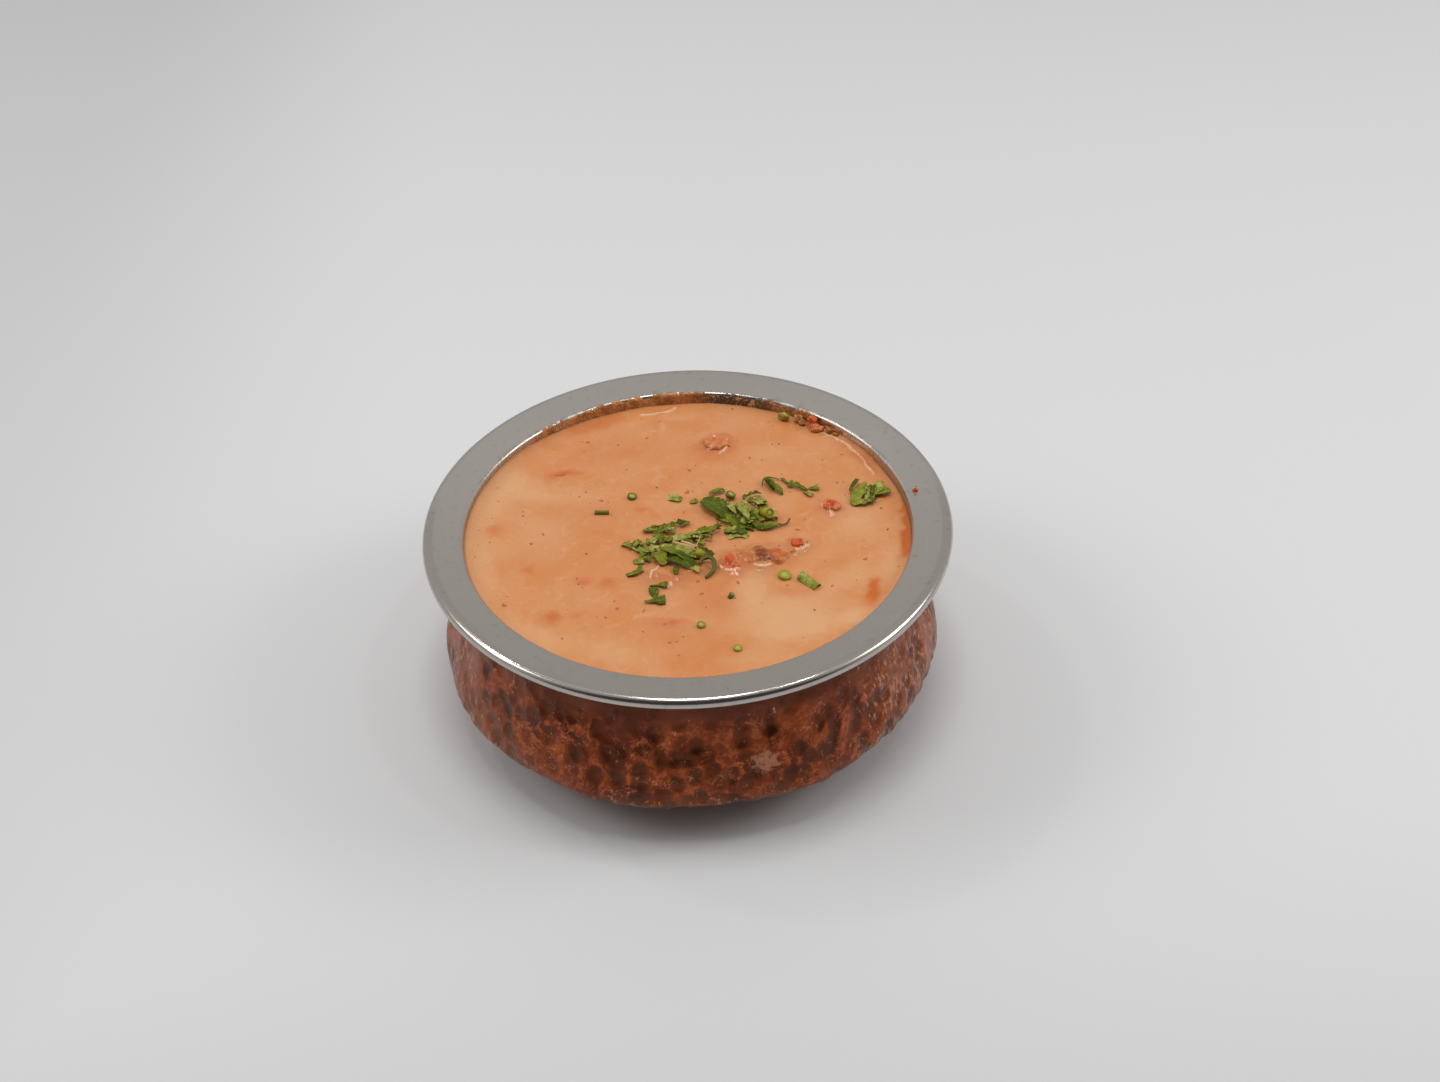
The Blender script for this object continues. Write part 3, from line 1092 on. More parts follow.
# bits stuck where the gravy meets the wall: kind, centre, size, turn, roll
rimScraps = {
    "green_onion_scrap": [
        ("ball", (29.0, 48.9, 49.9), (3.6, 1.8, 3.0), -31, 20),
    ],
    "brown_onion_scrap": [
        ("ball", (33.2, 47.2, 50.2), (3.0, 1.8, 2.8), -35, 0),
        ("ball", (34.2, 46.2, 49.6), (2.0, 1.8, 1.8), 0, 0),
        ("ball", (41.6, 41.4, 49.9), (2.8, 1.5, 2.0), -45, 0),
        ("ball", (43.2, 39.4, 49.6), (1.8, 1.2, 1.3), 0, 0),
    ],
    "tomato_scrap": [
        ("ball", (37.0, 44.9, 51.1), (2.8, 2.2, 2.8), -40, 14),
        ("ball", (37.8, 43.3, 49.6), (3.6, 3.0, 2.4), -30, 0),
        ("ball", (39.2, 42.6, 49.6), (2.2, 2.0, 1.8), 0, 0),
        ("ball", (61.7, 7.9, 52.75), (1.7, 1.4, 1.0), 20, 0),
        ("ball", (61.3, 6.2, 52.6), (0.8, 0.7, 0.6), 0, 0),
        ("ball", (62.2, 9.7, 52.8), (0.7, 0.6, 0.6), 0, 0),
    ],
}
# where the tomato scraps are bare of gravy: x, y, radius in mm and strength
scrapFlesh = [
    (37.0, 44.9, 1.6, 0.7),
    (37.8, 43.3, 4.0, 0.15),
    (61.7, 7.9, 3.0, 0.55),
]


def scrapMaterial():
    # stewed onion: clear at thin edges, olive to brown
    patterns = {"cells": (0.8, 3.0, 0.6, 0.0)}
    material, tree, shader, look = newMaterial("stewed_onion_scraps", patterns, IOR=1.4, Roughness=0.2,
                                               Subsurface_Weight=0.3, Subsurface_Scale=0.8 * mm)
    across = addNode(tree, "ShaderNodeSeparateXYZ", look.place, take="X")
    layers = [(across, (31.4 * mm, 30.4 * mm), 1.0, "959038"), (look.cells, (0.4, 0.8), 1.0, "cf9f68")]
    finishSurface(tree, shader, "a8683a", layers, None, look.cells, 0.08)
    return material


def makeRimScraps(tomatoFlesh):
    onion = scrapMaterial()
    for seed, (name, solids) in enumerate(rimScraps.items()):
        mesh = blobMesh(name, solids, voxel=0.18, smoothing=3)
        roughen(mesh, seed + 11, coarse=0.5, coarseSize=1.1, fine=0.14, fineSize=0.5)
        paint(mesh, "flesh", scrapFlesh)
        if name == "tomato_scrap":
            newPiece(name, mesh, tomatoFlesh)
        else:
            newPiece(name, mesh, onion)


makeWallFilm()
makeRimScraps(tomatoFlesh)
print("wall marked")


# each leaf piece: outline, x, y, length, width, turn, height over the sauce, pitch, roll, arch, fold,
# sweep, tone
# sizes in mm and angles in degrees; tone runs from 0, dark upper side, to 1, pale underside
leaves = [
    ("oval", 8.3, 7.6, 12.4, 7.4, -44, 1.3, -3, 18, 50, 22, 8, 0.06),
    ("blade", 13.3, 2.2, 13.0, 6.2, -31, 0.5, -3, 22, 22, 20, -14, 0.18),
    ("strip", 8.4, 15.4, 4.6, 2.0, 12, 0.9, 6, 20, 20, 20, 0, 0.42),
    ("blade", 11.9, 6.6, 6.6, 3.1, -72, 2.2, 10, 30, 50, 30, 10, 0.78),
    ("blade", 14.9, 4.8, 8.0, 3.9, -69, 2.4, -6, -20, 30, 36, 12, 0.62),
    ("lobed", 12.4, 7.6, 4.4, 4.7, -60, 1.6, 0, 10, 40, 40, 0, 0.42),
    ("lobed", 17.8, 12.9, 5.2, 3.4, 14, 1.1, 8, -20, 60, 50, 20, 0.28),
    ("lobed", 19.4, 9.8, 6.8, 2.9, -70, 0.7, -6, 26, 34, 46, 12, 0.40),
    ("lobed", 17.4, 1.8, 6.8, 4.4, -66, 0.9, -4, 18, 44, 60, 10, 0.22),
    ("lobed", 17.2, 5.0, 4.0, 3.4, -30, 1.4, 8, -14, 30, 50, 0, 0.45),
    ("lobed", 19.0, 2.6, 3.4, 2.3, -20, 0.8, 8, 24, 20, 40, 0, 0.62),
    ("blade", 21.6, -0.3, 7.0, 3.1, 8, 0.5, 4, 24, 20, 26, 22, 0.26),
    ("lobed", 12.5, -1.6, 6.4, 4.9, -12, 0.4, 0, 14, 20, 30, 0, 0.34),
    ("strip", 13.0, -3.4, 6.0, 1.8, -2, 0.2, 0, 30, 10, 10, -30, 0.66),
    ("blade", 2.0, 12.2, 2.6, 2.3, 20, 0.3, 0, 10, 20, 20, 0, 0.40),
    ("blade", 23.8, 16.8, 8.4, 4.4, -56, 0.7, -4, -24, 40, 70, 16, 0.34),
    ("lobed", 22.6, 17.8, 5.4, 2.3, -62, 1.2, -4, 40, 40, 60, 16, 0.20),
    ("strip", 27.5, 19.4, 3.6, 1.6, -56, 0.5, -8, 20, 20, 40, 0, 0.50),
    ("lobed", 30.6, 16.3, 6.0, 3.5, -22, 0.5, 0, 20, 30, 46, 0, 0.34),
    ("fan", 34.4, 15.6, 3.8, 2.9, 4, 0.4, 4, 10, 20, 20, 0, 0.45),
    ("fan", 33.0, 13.4, 3.4, 2.3, -44, 0.3, 0, 10, 20, 20, 0, 0.52),
    ("lobed", -3.8, 1.8, 7.2, 3.1, 17, 0.8, 4, 24, 30, 50, -14, 0.24),
    ("strip", -0.8, 2.6, 3.0, 2.3, 20, 0.9, 4, 10, 10, 20, 0, 0.55),
    ("strip", -9.8, 0.6, 4.6, 2.0, 10, 0.6, -6, 20, 20, 30, 0, 0.48),
    ("lobed", -7.2, -0.6, 5.0, 3.1, 26, 0.6, 4, 30, 20, 50, 0, 0.22),
    ("strip", -5.6, 0.2, 4.4, 1.8, -16, 1.0, 2, 24, 20, 20, 0, 0.62),
    ("strip", -8.6, -4.4, 5.2, 3.4, 6, 0.9, 2, 26, 10, 10, 0, 0.32),
    ("blade", -2.0, -4.6, 8.6, 3.1, 5, 1.2, 3, 26, 14, 20, 10, 0.66),
    ("lobed", -3.6, -5.2, 6.4, 2.3, 4, 0.7, 2, -20, 14, 40, 0, 0.24),
    ("blade", 5.2, -1.8, 7.4, 3.4, 9, 1.0, 4, 26, 24, 46, 20, 0.36),
    ("lobed", 7.6, -1.0, 3.0, 1.8, 20, 1.6, 10, 10, 30, 40, 0, 0.16),
    ("blade", 3.4, -3.0, 6.0, 2.1, 12, 0.5, 2, -10, 14, 20, 0, 0.68),
    ("lobed", -16.3, -5.6, 3.8, 3.1, -43, 0.4, 0, 14, 20, 50, 0, 0.55),
    ("lobed", -13.6, -4.6, 3.2, 2.1, -44, 0.6, 4, 20, 20, 40, 0, 0.42),
    ("blade", -12.0, -7.8, 6.4, 3.6, -30, 0.8, 2, 24, 20, 26, 0, 0.66),
    ("lobed", -10.6, -9.0, 5.0, 2.9, 30, 0.5, 2, 20, 20, 40, 0, 0.24),
    ("strip", -6.7, -8.4, 7.4, 2.6, -14, 1.5, 2, 30, 16, 20, 0, 0.66),
    ("blade", -1.6, -9.8, 6.8, 3.1, -28, 1.6, -4, 30, 20, 30, 0, 0.58),
    ("oval", -2.2, -14.2, 10.4, 5.6, -30, 1.2, -3, 30, 60, 30, -16, 0.05),
    ("oval", -7.4, -12.4, 5.8, 4.6, -72, 1.7, -4, 24, 60, 30, 0, 0.40),
    ("blade", -3.6, -12.2, 9.0, 2.9, -34, 2.4, -4, 20, 50, 40, -10, 0.30),
    ("lobed", -1.0, -12.6, 6.4, 2.3, -24, 2.4, -4, 20, 40, 40, 0, 0.42),
    ("blade", -3.6, -17.8, 3.8, 2.3, -87, 0.4, -6, 10, 30, 30, 0, 0.14),
    ("lobed", 4.4, -9.6, 4.6, 2.6, -36, 0.8, -4, 10, 30, 50, 20, 0.22),
    ("blade", 1.8, -17.4, 3.0, 2.2, -70, 0.5, -4, 10, 20, 20, 0, 0.86),
    ("strip", -13.2, -12.2, 3.0, 2.6, 2, 0.5, 2, 20, 10, 30, 0, 0.52),
    ("lobed", -11.2, -11.6, 3.6, 2.6, -47, 0.6, 2, 20, 20, 50, 0, 0.26),
    ("strip", -14.2, -17.0, 4.6, 3.1, 17, 0.4, 2, 26, 20, 40, 0, 0.50),
    ("fan", -8.2, -22.6, 4.6, 2.9, -8, 0.3, 0, 10, 10, 10, 0, 0.20),
    ("strip", -9.3, -25.2, 4.6, 2.5, -84, 0.3, 0, 10, 10, 10, 0, 0.22),
    ("fan", -9.2, -28.2, 5.4, 4.7, 4, 0.3, 0, 8, 10, 10, 0, 0.20),
    ("strip", -3.4, 14.0, 4.2, 3.1, -22, 0.1, 0, 6, 10, 10, 0, 0.62),
    ("blade", 47.2, 12.4, 10.6, 4.8, 64, 0.5, 3, 10, 10, 16, 6, 0.58),
    ("blade", 51.4, 12.8, 9.2, 4.9, 54, 0.8, 3, -8, 10, 16, -6, 0.70),
    ("oval", 53.2, 12.0, 5.4, 3.6, 14, 1.1, 4, 8, 14, 20, 0, 0.52),
    ("lobed", 48.0, 8.4, 7.2, 3.0, 12, 0.7, 2, 10, 10, 16, 0, 0.30),
    ("strip", 46.0, 15.4, 6.0, 1.7, 62, 1.2, 3, -10, 14, 40, 0, 0.16),
    ("lobed", 50.6, 12.6, 5.0, 2.2, 84, 1.3, 3, 10, 20, 40, 0, 0.22),
]


def lobes(u):
    return (0.55 + 0.45 * abs(math.sin(3.2 * math.pi * u))) * math.sin(math.pi * (0.1 + 0.8 * u)) ** 0.4


outlines = {                             # half width along the length, from 0 to 1
    "blade": lambda u: math.sin(math.pi * min(1.0, 0.06 + 0.94 * u)) ** 0.75,
    "strip": lambda u: min(1.0, 0.72 + 4.0 * u, 0.60 + 4.0 * (1 - u)),
    "lobed": lobes,
    "fan": lambda u: 0.22 + 0.78 * u ** 0.9,
    "oval": lambda u: math.sqrt(max(0.02, 1.0 - (2.0 * u - 1.0) ** 2)),
}
# a rolled up leaf: x, y, length, width, turn, height, wrap in degrees, tone
scrolls = [(30.4, -23.4, 6.0, 5.7, -48, 0.95, 255, 0.56)]


def placeLeaf(x, y, turn, lift, pitch, roll):
    height = sauceTop(x, y) + lift * mm
    place = Matrix.Translation((x * mm, y * mm, height)) @ Matrix.Rotation(math.radians(turn), 4, "Z")
    return place @ Matrix.Rotation(-math.radians(pitch), 4, "Y") @ Matrix.Rotation(math.radians(roll), 4, "X")


def straightNoise(place, seed):          # noise joined by straight lines, for a torn edge with corners
    first = math.floor(place)
    here = noise.noise(Vector((first * 0.73, seed * 2.13, 0.5)))
    after = noise.noise(Vector(((first + 1) * 0.73, seed * 2.13, 0.5)))
    return here + (after - here) * (place - first)


def foldLines(length, amount, seed):     # creases of one piece: direction, distance out, steepness
    draw = random.Random(seed + 100)
    lines = []
    for index in range(1 + round(length / 3.2)):
        turn = draw.uniform(-0.8, 0.8) + (math.pi / 2 if index % 3 == 1 else 0.0)
        reach = 0.4 if index % 3 == 1 else 0.38 * length
        steep = draw.uniform(0.45, 1.0) * amount * (1 if index % 2 else -1)
        lines.append((math.cos(turn), math.sin(turn), draw.uniform(-reach, reach), steep))
    return lines


def addSheet(shape, place, length, width, outline, bend, tone, seed, crumpled):
    # a leaf piece as a grid, torn along its sides and creased; bend(u, v, half) gives its larger form in mm
    floats = shape.verts.layers.float
    toneLayer, creaseLayer = (floats.get(name) or floats.new(name) for name in ("tone", "crease"))
    veins = shape.loops.layers.uv.get("veins") or shape.loops.layers.uv.new("veins")
    folds = foldLines(length, 0.75 * crumpled, seed)
    along, across = max(8, round(length / 0.32)), 10
    grid = []
    for i in range(along + 1):
        u = i / along
        row = []
        for j in range(across + 1):
            v = 2 * j / across - 1
            edge = seed + (31 if v > 0 else 0)
            torn = 1.0 + crumpled * (1.3 * straightNoise(u * length / 1.3, edge) - 0.08)
            nick = 1.0 - 0.35 * (0.5 + 0.7 * noise.noise(Vector((u * length / 0.6, edge, 0.0)))) * abs(v) ** 3
            x, y, z = bend(u, v, width / 2 * outline(u) * max(torn, 0.35) * nick)
            flat = Vector((x / 1.9, y / 1.5, seed * 1.7))
            lift, dark, facing = 0.0, 0.0, 0.0
            for c, s, away, steep in folds:
                distance = x * c + y * s - away
                lift += steep * math.sqrt(distance * distance + 0.01)
                dark = max(dark, math.exp(-(distance / 0.2) ** 2))
                facing += steep * (1 if distance > 0 else -1)
            lift += (0.30 * noise.noise(flat) + 0.2 * noise.noise(flat * 2.6)) * (0.4 + 0.6 * crumpled)
            shade = tone + 0.16 * facing + 0.26 * noise.noise(flat * 1.3) - 0.10 * abs(v) ** 4
            row.append((x, y, z, lift, shade, dark, u * length / 10, v))
        grid.append(row)
    lowest = min(point[3] for row in grid for point in row)
    rows = []
    for row in grid:
        corners = []
        for x, y, z, lift, shade, dark, alongVein, v in row:
            rise = 0.75 * math.tanh((lift - lowest) / 0.75)
            vertex = shape.verts.new(place @ (Vector((x, y, z + rise - 0.4 * crumpled)) * mm))
            vertex[toneLayer] = shade
            vertex[creaseLayer] = dark * crumpled
            corners.append((vertex, alongVein, v))
        rows.append(corners)
    for first, second in zip(rows, rows[1:]):
        for a, b, c, d in zip(first, second, second[1:], first[1:]):
            face = shape.faces.new((a[0], b[0], c[0], d[0]))
            for loop, corner in zip(face.loops, (a, b, c, d)):
                loop[veins].uv = corner[1:]


coriander = {
    "dark": "566210",
    "middle": "8e9222",
    "pale": "c6c068",
    "vein": "b9b860",
    "crease": "2f3400",
    "veinSpacing": 0.6,                  # mm
    "thickness": 0.14 * mm,
    "sink": 0.15,                        # mm that the placed leaves settle into one another
    # how much of its listed arch, fold, roll and width each placed leaf keeps
    "archShare": 0.8,
    "foldShare": 0.65,
    "rollShare": 0.35,
    "widthShare": 0.92,
    # small torn bits laid among the placed leaves: how many, and the span of their sizes and heights in mm
    "bits": 62,
    "bitLength": (1.6, 3.6),
    "bitWidth": (1.3, 2.5),
    "bitLift": (0.3, 1.9),
    "seed": 7,
}


def leafMaterial():
    # chopped fresh coriander: waxy dark upper sides, matt pale undersides, paler veins, bruised cut edges
    patterns = {"blotch": (1.6, 4.0, 0.6, 0.0)}
    marks = ("tone", "crease")
    material, tree, shader, look = newMaterial("chopped_coriander_leaf", patterns, marks, IOR=1.4,
                                               Specular_IOR_Level=0.22)
    sheet = addNode(tree, "ShaderNodeUVMap", uv_map="veins")
    aside = addNode(tree, "ShaderNodeMath", addNode(tree, "ShaderNodeSeparateXYZ", sheet, take="Y"),
                    operation="ABSOLUTE")
    bent = {"Vector": look.place, "Scale": 1400.0}        # per metre, one in about 0.7 mm
    bent = addNode(tree, "ShaderNodeTexNoise", bent, take="Color")
    bent = addNode(tree, "ShaderNodeVectorMath", bent, (0.6 * mm,) * 3, look.place, operation="MULTIPLY_ADD")
    cells = {"Vector": bent, "Scale": 1000.0 / coriander["veinSpacing"]}
    cells = addNode(tree, "ShaderNodeTexVoronoi", cells, feature="DISTANCE_TO_EDGE")
    network = overlap(tree, (cells, 0.20, 0.02))          # fine sunken veins
    lines = look.crease
    for mark, share in ((network, 0.42), (overlap(tree, (aside, 0.84, 1.0)), 0.75)):
        mark = addNode(tree, "ShaderNodeMath", mark, share, operation="MULTIPLY")
        lines = addNode(tree, "ShaderNodeMath", lines, mark, operation="MAXIMUM")
    patchy = addNode(tree, "ShaderNodeMath", look.blotch, 0.7, 0.5, operation="MULTIPLY_ADD")
    uneven = addNode(tree, "ShaderNodeMath", look.blotch, 0.5, operation="SUBTRACT")
    shade = addNode(tree, "ShaderNodeMath", look.tone, uneven, operation="ADD")
    layers = [
        (shade, (0.0, 0.45), 1.0, coriander["middle"]),
        (shade, (0.4, 0.85), 1.0, coriander["pale"]),
        (overlap(tree, (aside, 0.10, 0.02), (look.blotch,)), None, 0.35, coriander["vein"]),
        (overlap(tree, (lines,), (patchy,)), None, 1.0, coriander["crease"]),
    ]
    rough = addNode(tree, "ShaderNodeMath", look.blotch, 0.3, 0.22, operation="MULTIPLY_ADD")
    relief = addNode(tree, "ShaderNodeMath", network, -0.6, look.blotch, operation="MULTIPLY_ADD")
    finishSurface(tree, shader, coriander["dark"], layers, rough, relief, 0.14)
    return material


heaps = [                                # where small torn bits gather: x, y, half length, half width, turn
    (16.0, 4.8, 6.5, 3.2, -30),
    (17.5, 9.0, 3.5, 3.5, 0),
    (-5.0, -6.0, 9.0, 5.0, 8),
    (-2.0, -9.5, 6.5, 2.6, -14),
    (1.0, -4.0, 6.0, 2.0, 8),
]
# how torn and creased each kind of piece is
crumpling = {"oval": 0.12, "blade": 0.45, "strip": 0.8, "lobed": 0.9, "fan": 0.7}


def makeLeaves():
    shape = bmesh.new()
    for seed, leaf in enumerate(leaves):
        kind, x, y, length, width, turn, lift, pitch, roll, arch, fold, sweep, tone = leaf
        curve = math.radians(arch * coriander["archShare"])
        crease = math.radians(fold * coriander["foldShare"])
        swing = math.radians(sweep)

        def bend(u, v, half):
            angle = curve * (u - 0.5)
            radius = length / curve
            aside = v * half * math.cos(crease)
            reach = radius + abs(v) * half * math.sin(crease)
            turned = swing * (u - 0.5)
            forward = reach * math.sin(angle) - aside * math.sin(turned)
            sideways = aside * math.cos(turned) + length * turned * (u - 0.5) / 2
            return forward, sideways, reach * math.cos(angle) - radius
        place = placeLeaf(x, y, turn, lift - coriander["sink"], pitch, roll * coriander["rollShare"])
        addSheet(shape, place, length, width * coriander["widthShare"], outlines[kind], bend, tone, seed,
                 crumpling[kind])
    for seed, (x, y, length, width, turn, lift, wrap, tone) in enumerate(scrolls):
        radius = width / math.radians(wrap)

        def rollUp(u, v, half):
            angle = math.radians(wrap) / 2 * v
            grow = radius * (1.0 + 0.16 * v)
            return (u - 0.5) * length, grow * math.sin(angle), -0.55 * grow * math.cos(angle)
        place = placeLeaf(x, y, turn, lift, pitch=-4, roll=192)
        addSheet(shape, place, length, width, outlines["strip"], rollUp, tone, seed + 91, crumpled=0.3)
    draw = random.Random(coriander["seed"])
    for seed in range(coriander["bits"]):
        x0, y0, along, across, tilt = draw.choice(heaps)
        angle, reach = draw.uniform(0, math.tau), math.sqrt(draw.random())
        dx, dy = along * reach * math.cos(angle), across * reach * math.sin(angle)
        c, s = math.cos(math.radians(tilt)), math.sin(math.radians(tilt))
        length, width = draw.uniform(*coriander["bitLength"]), draw.uniform(*coriander["bitWidth"])
        turn, lift = draw.uniform(0, 360), draw.uniform(*coriander["bitLift"])
        pitch, roll = draw.uniform(-14, 14), draw.uniform(-16, 16)
        place = placeLeaf(x0 + dx * c - dy * s, y0 + dx * s + dy * c, turn, lift, pitch, roll)

        def keepFlat(u, v, half):
            return (u - 0.5) * length, v * half, 0.0
        tone = draw.uniform(0.2, 0.95)
        addSheet(shape, place, length, width, outlines["strip"], keepFlat, tone, seed + 200, crumpled=0.9)
    mesh = bpy.data.meshes.new("coriander")
    shape.to_mesh(mesh)
    shape.free()
    piece = newPiece("chopped_coriander_leaves", mesh, leafMaterial())
    thick = piece.modifiers.new("thickness", "SOLIDIFY")
    thick.thickness = coriander["thickness"]
    thick.offset = 0.0


# cut stems: x, y, diameter, length, height over the sauce, turn, tip from upright, tone
# tone is 0 for dark green, 1 for yellow green, 2 for tan
stems = [
    (12.0, 13.0, 2.7, 1.1, 1.3, 20, 22, 0.25),
    (-14.9, 15.5, 2.6, 0.8, 0.35, 0, 12, 0.2),
    (2.2, -37.9, 2.2, 0.8, 0.3, 0, 10, 0.6),
    (10.9, -46.8, 2.2, 0.7, 0.25, 0, 6, 1.1),
    (24.4, -20.3, 3.5, 0.9, 0.35, 0, 12, 1.0),
    (2.6, -11.2, 2.5, 2.2, 1.3, 30, 40, 1.0),
    (21.2, 4.4, 2.9, 3.4, 1.5, -51, 62, 1.05),
    (23.5, 3.8, 1.5, 3.2, 0.9, -90, 82, 1.5),
    (-23.1, 9.0, 1.15, 3.8, 0.45, -4, 90, 0.25),
    (-1.3, -8.6, 0.9, 6.4, 2.2, -30, 88, 1.8),
    (0.2, -8.4, 0.8, 5.0, 2.4, -36, 88, 2.0),
    (-0.6, -9.6, 0.8, 5.6, 2.0, -26, 88, 1.6),
    (10.2, -27.4, 1.4, 1.3, 0.45, 30, 30, 0.2),
]


def stalkMaterial():
    # coriander stalk, cut through with a knife: smooth skin, paler pith showing at the ends
    patterns = {"streaks": (0.7, 3.0, 0.6, 0.0)}
    material, tree, shader, look = newMaterial("cut_coriander_stalk", patterns, ("tone", "cut"), IOR=1.4,
                                               Roughness=0.35)
    layers = [
        (look.tone, (0.0, 1.0), 1.0, "9c941c"),
        (look.tone, (1.1, 2.0), 1.0, "c9a872"),
        (look.cut, None, 0.85, "b4b250"),
        (look.streaks, (0.5, 0.8), 0.4, "4f6420"),
    ]
    finishSurface(tree, shader, "525a10", layers)
    return material


def makeStems(material):
    places, aims, girths, tones = [], [], [], []
    for x, y, diameter, length, lift, turn, tip, tone in stems:
        places.append((x * mm, y * mm, sauceTop(x, y) + lift * mm))
        aims += [0.0, math.radians(tip), math.radians(turn)]
        girths += [diameter * mm / 2, diameter * mm / 2, length * mm]
        tones.append(tone)
    base = bpy.data.meshes.new("stem_places")
    base.from_pydata(places, [], [])
    base.attributes.new("aim", "FLOAT_VECTOR", "POINT").data.foreach_set("vector", aims)
    base.attributes.new("size", "FLOAT_VECTOR", "POINT").data.foreach_set("vector", girths)
    base.attributes.new("tone", "FLOAT", "POINT").data.foreach_set("value", tones)

    # one stem of radius 1 and length 1, made to size at each place: a ring of skin, and pith just short of it
    sizes = {
        "Sides": 20,
        "Skin Thickness": 0.30,
        "Skin Radius": 0.85,
        "Pith Radius": 0.74,
        "Pith Length": 0.86,
        "Material": material,
    }
    tree, group = newTree("cut_stems", sizes)
    profile = {"Width": group["Skin Thickness"], "Height": 1.0}
    profile = addNode(tree, "GeometryNodeCurvePrimitiveQuadrilateral", profile)
    ring = {"Resolution": group["Sides"], "Radius": group["Skin Radius"]}
    ring = addNode(tree, "GeometryNodeCurvePrimitiveCircle", ring, take="Curve")
    tube = addNode(tree, "GeometryNodeCurveToMesh", {"Curve": ring, "Profile Curve": profile})
    pith = {"Vertices": group["Sides"], "Radius": group["Pith Radius"], "Depth": group["Pith Length"]}
    pith = addNode(tree, "GeometryNodeMeshCylinder", pith, take="Mesh")
    cutStem = addNode(tree, "GeometryNodeJoinGeometry")
    for part, amount in ((tube, 0.0), (pith, 1.0)):
        marking = {"Geometry": part, "Name": "cut", "Value": amount}
        marked = addNode(tree, "GeometryNodeStoreNamedAttribute", marking, data_type="FLOAT", domain="FACE")
        tree.links.new(marked, cutStem.node.inputs[0])
    aimIn = addNode(tree, "GeometryNodeInputNamedAttribute", {"Name": "aim"}, data_type="FLOAT_VECTOR")
    sizeIn = addNode(tree, "GeometryNodeInputNamedAttribute", {"Name": "size"}, data_type="FLOAT_VECTOR")
    placing = {"Points": group["Geometry"], "Instance": cutStem, "Rotation": aimIn, "Scale": sizeIn}
    placed = addNode(tree, "GeometryNodeInstanceOnPoints", placing)
    closeTree(tree, placed, group["Material"])
    newPiece("cut_coriander_stems", meshFromTree(base, tree, sizes), None)


# thin stalks and tendrils as runs of points x, y, height over the sauce, then thickness and tone
stalks = [
    ([(24.6, 0.0, 0.6), (26.4, 0.4, 0.8), (27.4, 1.6, 1.6)], 0.55, 0.1),
    ([(20.9, 17.4, 0.8), (21.3, 19.4, 1.2), (22.8, 20.8, 1.0), (25.8, 20.2, 0.5)], 0.42, 0.3),
    ([(26.4, 20.6, 0.5), (27.4, 19.0, 0.6), (29.4, 17.4, 0.7)], 0.55, 0.4),
    ([(2.6, -15.6, 0.8), (3.4, -13.9, 1.2), (5.2, -13.6, 1.6),
      (6.4, -15.2, 1.4), (6.0, -18.0, 0.9), (4.0, -20.2, 0.5)], 1.15, 0.05),
    ([(-2.2, -4.0, 1.0), (2.2, -3.9, 1.1), (6.4, -3.0, 0.9)], 0.35, 0.0),
    ([(3.2, -4.2, 1.6), (2.8, -6.6, 2.2), (1.6, -9.6, 2.0)], 0.38, 1.6),
    ([(-11.0, 0.9, 0.8), (-8.2, 1.4, 1.0), (-4.6, 2.2, 1.0)], 0.35, 0.2),
    ([(8.6, 1.8, 0.8), (14.4, -0.4, 0.9), (17.6, -1.2, 0.7)], 0.4, 0.2),
]


def makeStalks(material):
    base = bpy.data.meshes.new("stalk_lines")
    points, edges, thickness, tones = [], [], [], []
    for run, width, tone in stalks:
        count = (len(run) - 1) * 6
        for step in range(count + 1):
            place = step / 6
            index = min(int(place), len(run) - 2)
            t = place - index
            before, a, b, after = (Vector(run[max(0, min(len(run) - 1, index + k))]) for k in (-1, 0, 1, 2))
            here = 0.5 * (2 * a + (b - before) * t + (2 * before - 5 * a + 4 * b - after) * t * t
                          + (3 * a - before - 3 * b + after) * t ** 3)    # smooth through all its points
            if step:
                edges.append((len(points) - 1, len(points)))
            points.append((here.x * mm, here.y * mm, sauceTop(here.x, here.y) + here.z * mm))
            thickness.append(width / 2 * mm * (0.7 + 0.3 * math.sin(math.pi * step / count)))
            tones.append(tone)
    base.from_pydata(points, edges, [])
    for name, values in (("thickness", thickness), ("tone", tones)):
        base.attributes.new(name, "FLOAT", "POINT").data.foreach_set("value", values)
    sizes = {"Sides": 8, "Material": material}
    tree, group = newTree("thin_stalks", sizes)
    route = addNode(tree, "GeometryNodeMeshToCurve", group["Geometry"])
    radius = addNode(tree, "GeometryNodeInputNamedAttribute", {"Name": "thickness"}, data_type="FLOAT")
    profile = {"Resolution": group["Sides"], "Radius": 1.0}
    profile = addNode(tree, "GeometryNodeCurvePrimitiveCircle", profile, take="Curve")
    skin = {"Curve": route, "Profile Curve": profile, "Scale": radius, "Fill Caps": True}
    tube = addNode(tree, "GeometryNodeCurveToMesh", skin)
    closeTree(tree, tube, group["Material"])
    newPiece("coriander_stalks", meshFromTree(base, tree, sizes), None)


makeLeaves()
stalkSkin = stalkMaterial()
makeStems(stalkSkin)
makeStalks(stalkSkin)
print("coriander scattered")


flecksReach = 57.5                       # mm from the middle, so that none lies against the wall
flecks = {                               # count, smallest and largest size in mm, flatness, colours, seed
    "ground_spice_specks": (90, 0.25, 0.8, 0.3, ("8a4f26", "a4683a"), 3),
    "chilli_flecks": (46, 0.5, 1.5, 0.22, ("b4562a", "c26a36"), 8),
    "leaf_crumbs": (22, 0.3, 0.8, 0.35, ("5f6a22", "7f8640"), 12),
}


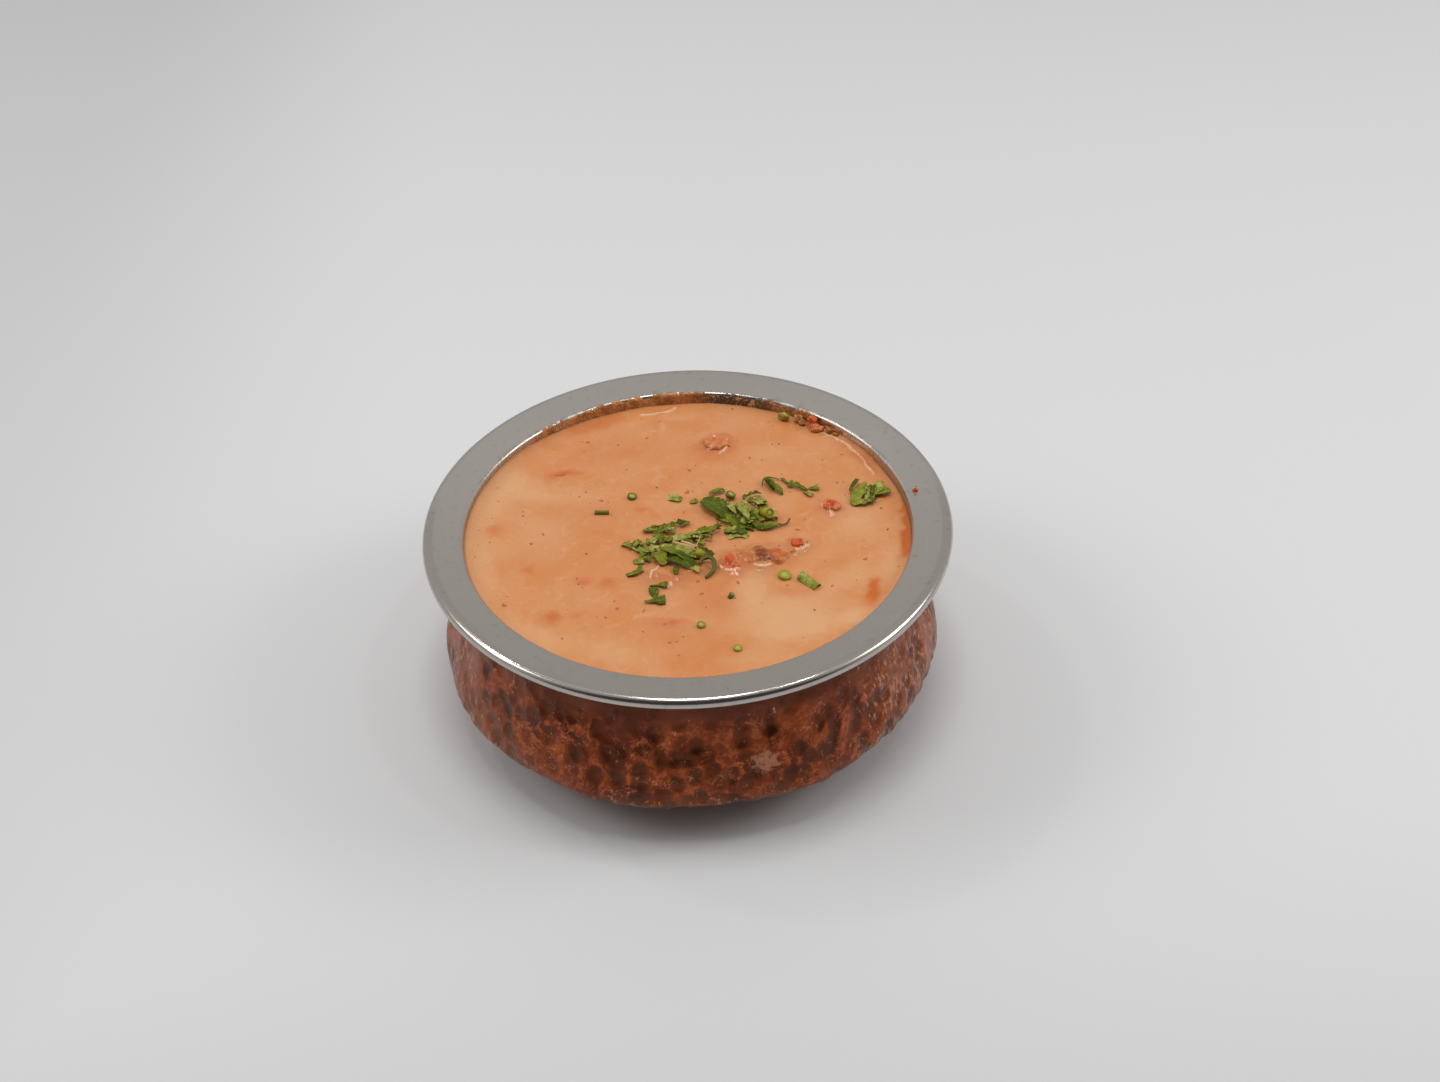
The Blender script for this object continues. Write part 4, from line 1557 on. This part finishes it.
def scatter(name, count, smallest, largest, flatness, colours, seed):
    # dry ground spice and leaf, wetted through: dull grains, each a little different in shape
    patterns = {"tint": (5.0, 1.0, 0.5, 0.0)}
    material, tree, shader, look = newMaterial(name + "_surface", patterns, Roughness=0.35)
    finishSurface(tree, shader, colours[0], [(look.tint, (0.4, 0.6), 1.0, colours[1])])
    draw = random.Random(seed)
    places = []
    for grain in range(count):
        radius, angle = flecksReach * math.sqrt(draw.random()), math.tau * draw.random()
        x, y = radius * math.cos(angle), radius * math.sin(angle)
        places.append((x * mm, y * mm, sauceTop(x, y)))
    top = bpy.data.meshes.new("sauce_top")
    top.from_pydata(places, [], [])
    sizes = {
        "Smallest": smallest * mm,
        "Largest": largest * mm,
        "Flatness": flatness,
        "Seed": seed,
        "Material": material,
    }
    tree, group = newTree(name, sizes)
    grain = addNode(tree, "GeometryNodeMeshIcoSphere", {"Radius": 0.5, "Subdivisions": 2})
    place = addNode(tree, "GeometryNodeInputPosition")
    bend = addNode(tree, "ShaderNodeTexNoise", {"Vector": place, "Scale": 2.0}, take="Color")
    offset = addNode(tree, "ShaderNodeVectorMath", bend, (0.5, 0.5, 0.5), operation="SUBTRACT")
    grain = addNode(tree, "GeometryNodeSetPosition", {"Geometry": grain, "Offset": offset})
    drawn = []
    for step, low, high in ((0, group["Smallest"], group["Largest"]), (1, 0.25, 0.8), (2, 0.0, math.tau)):
        seedHere = addNode(tree, "ShaderNodeMath", group["Seed"], step, operation="ADD")
        drawn.append(addNode(tree, "FunctionNodeRandomValue", {2: low, 3: high, "Seed": seedHere}, take=1))
    size, slim, spin = drawn
    width = addNode(tree, "ShaderNodeMath", size, slim, operation="MULTIPLY")
    height = addNode(tree, "ShaderNodeMath", size, group["Flatness"], operation="MULTIPLY")
    scale = addNode(tree, "ShaderNodeCombineXYZ", size, width, height)
    turn = addNode(tree, "ShaderNodeCombineXYZ", {2: spin})
    placing = {"Points": group["Geometry"], "Instance": grain, "Rotation": turn, "Scale": scale}
    placed = addNode(tree, "GeometryNodeInstanceOnPoints", placing)
    closeTree(tree, placed, group["Material"])
    newPiece(name, meshFromTree(top, tree, sizes), None)


for name, values in flecks.items():
    scatter(name, *values)
print("spices scattered")
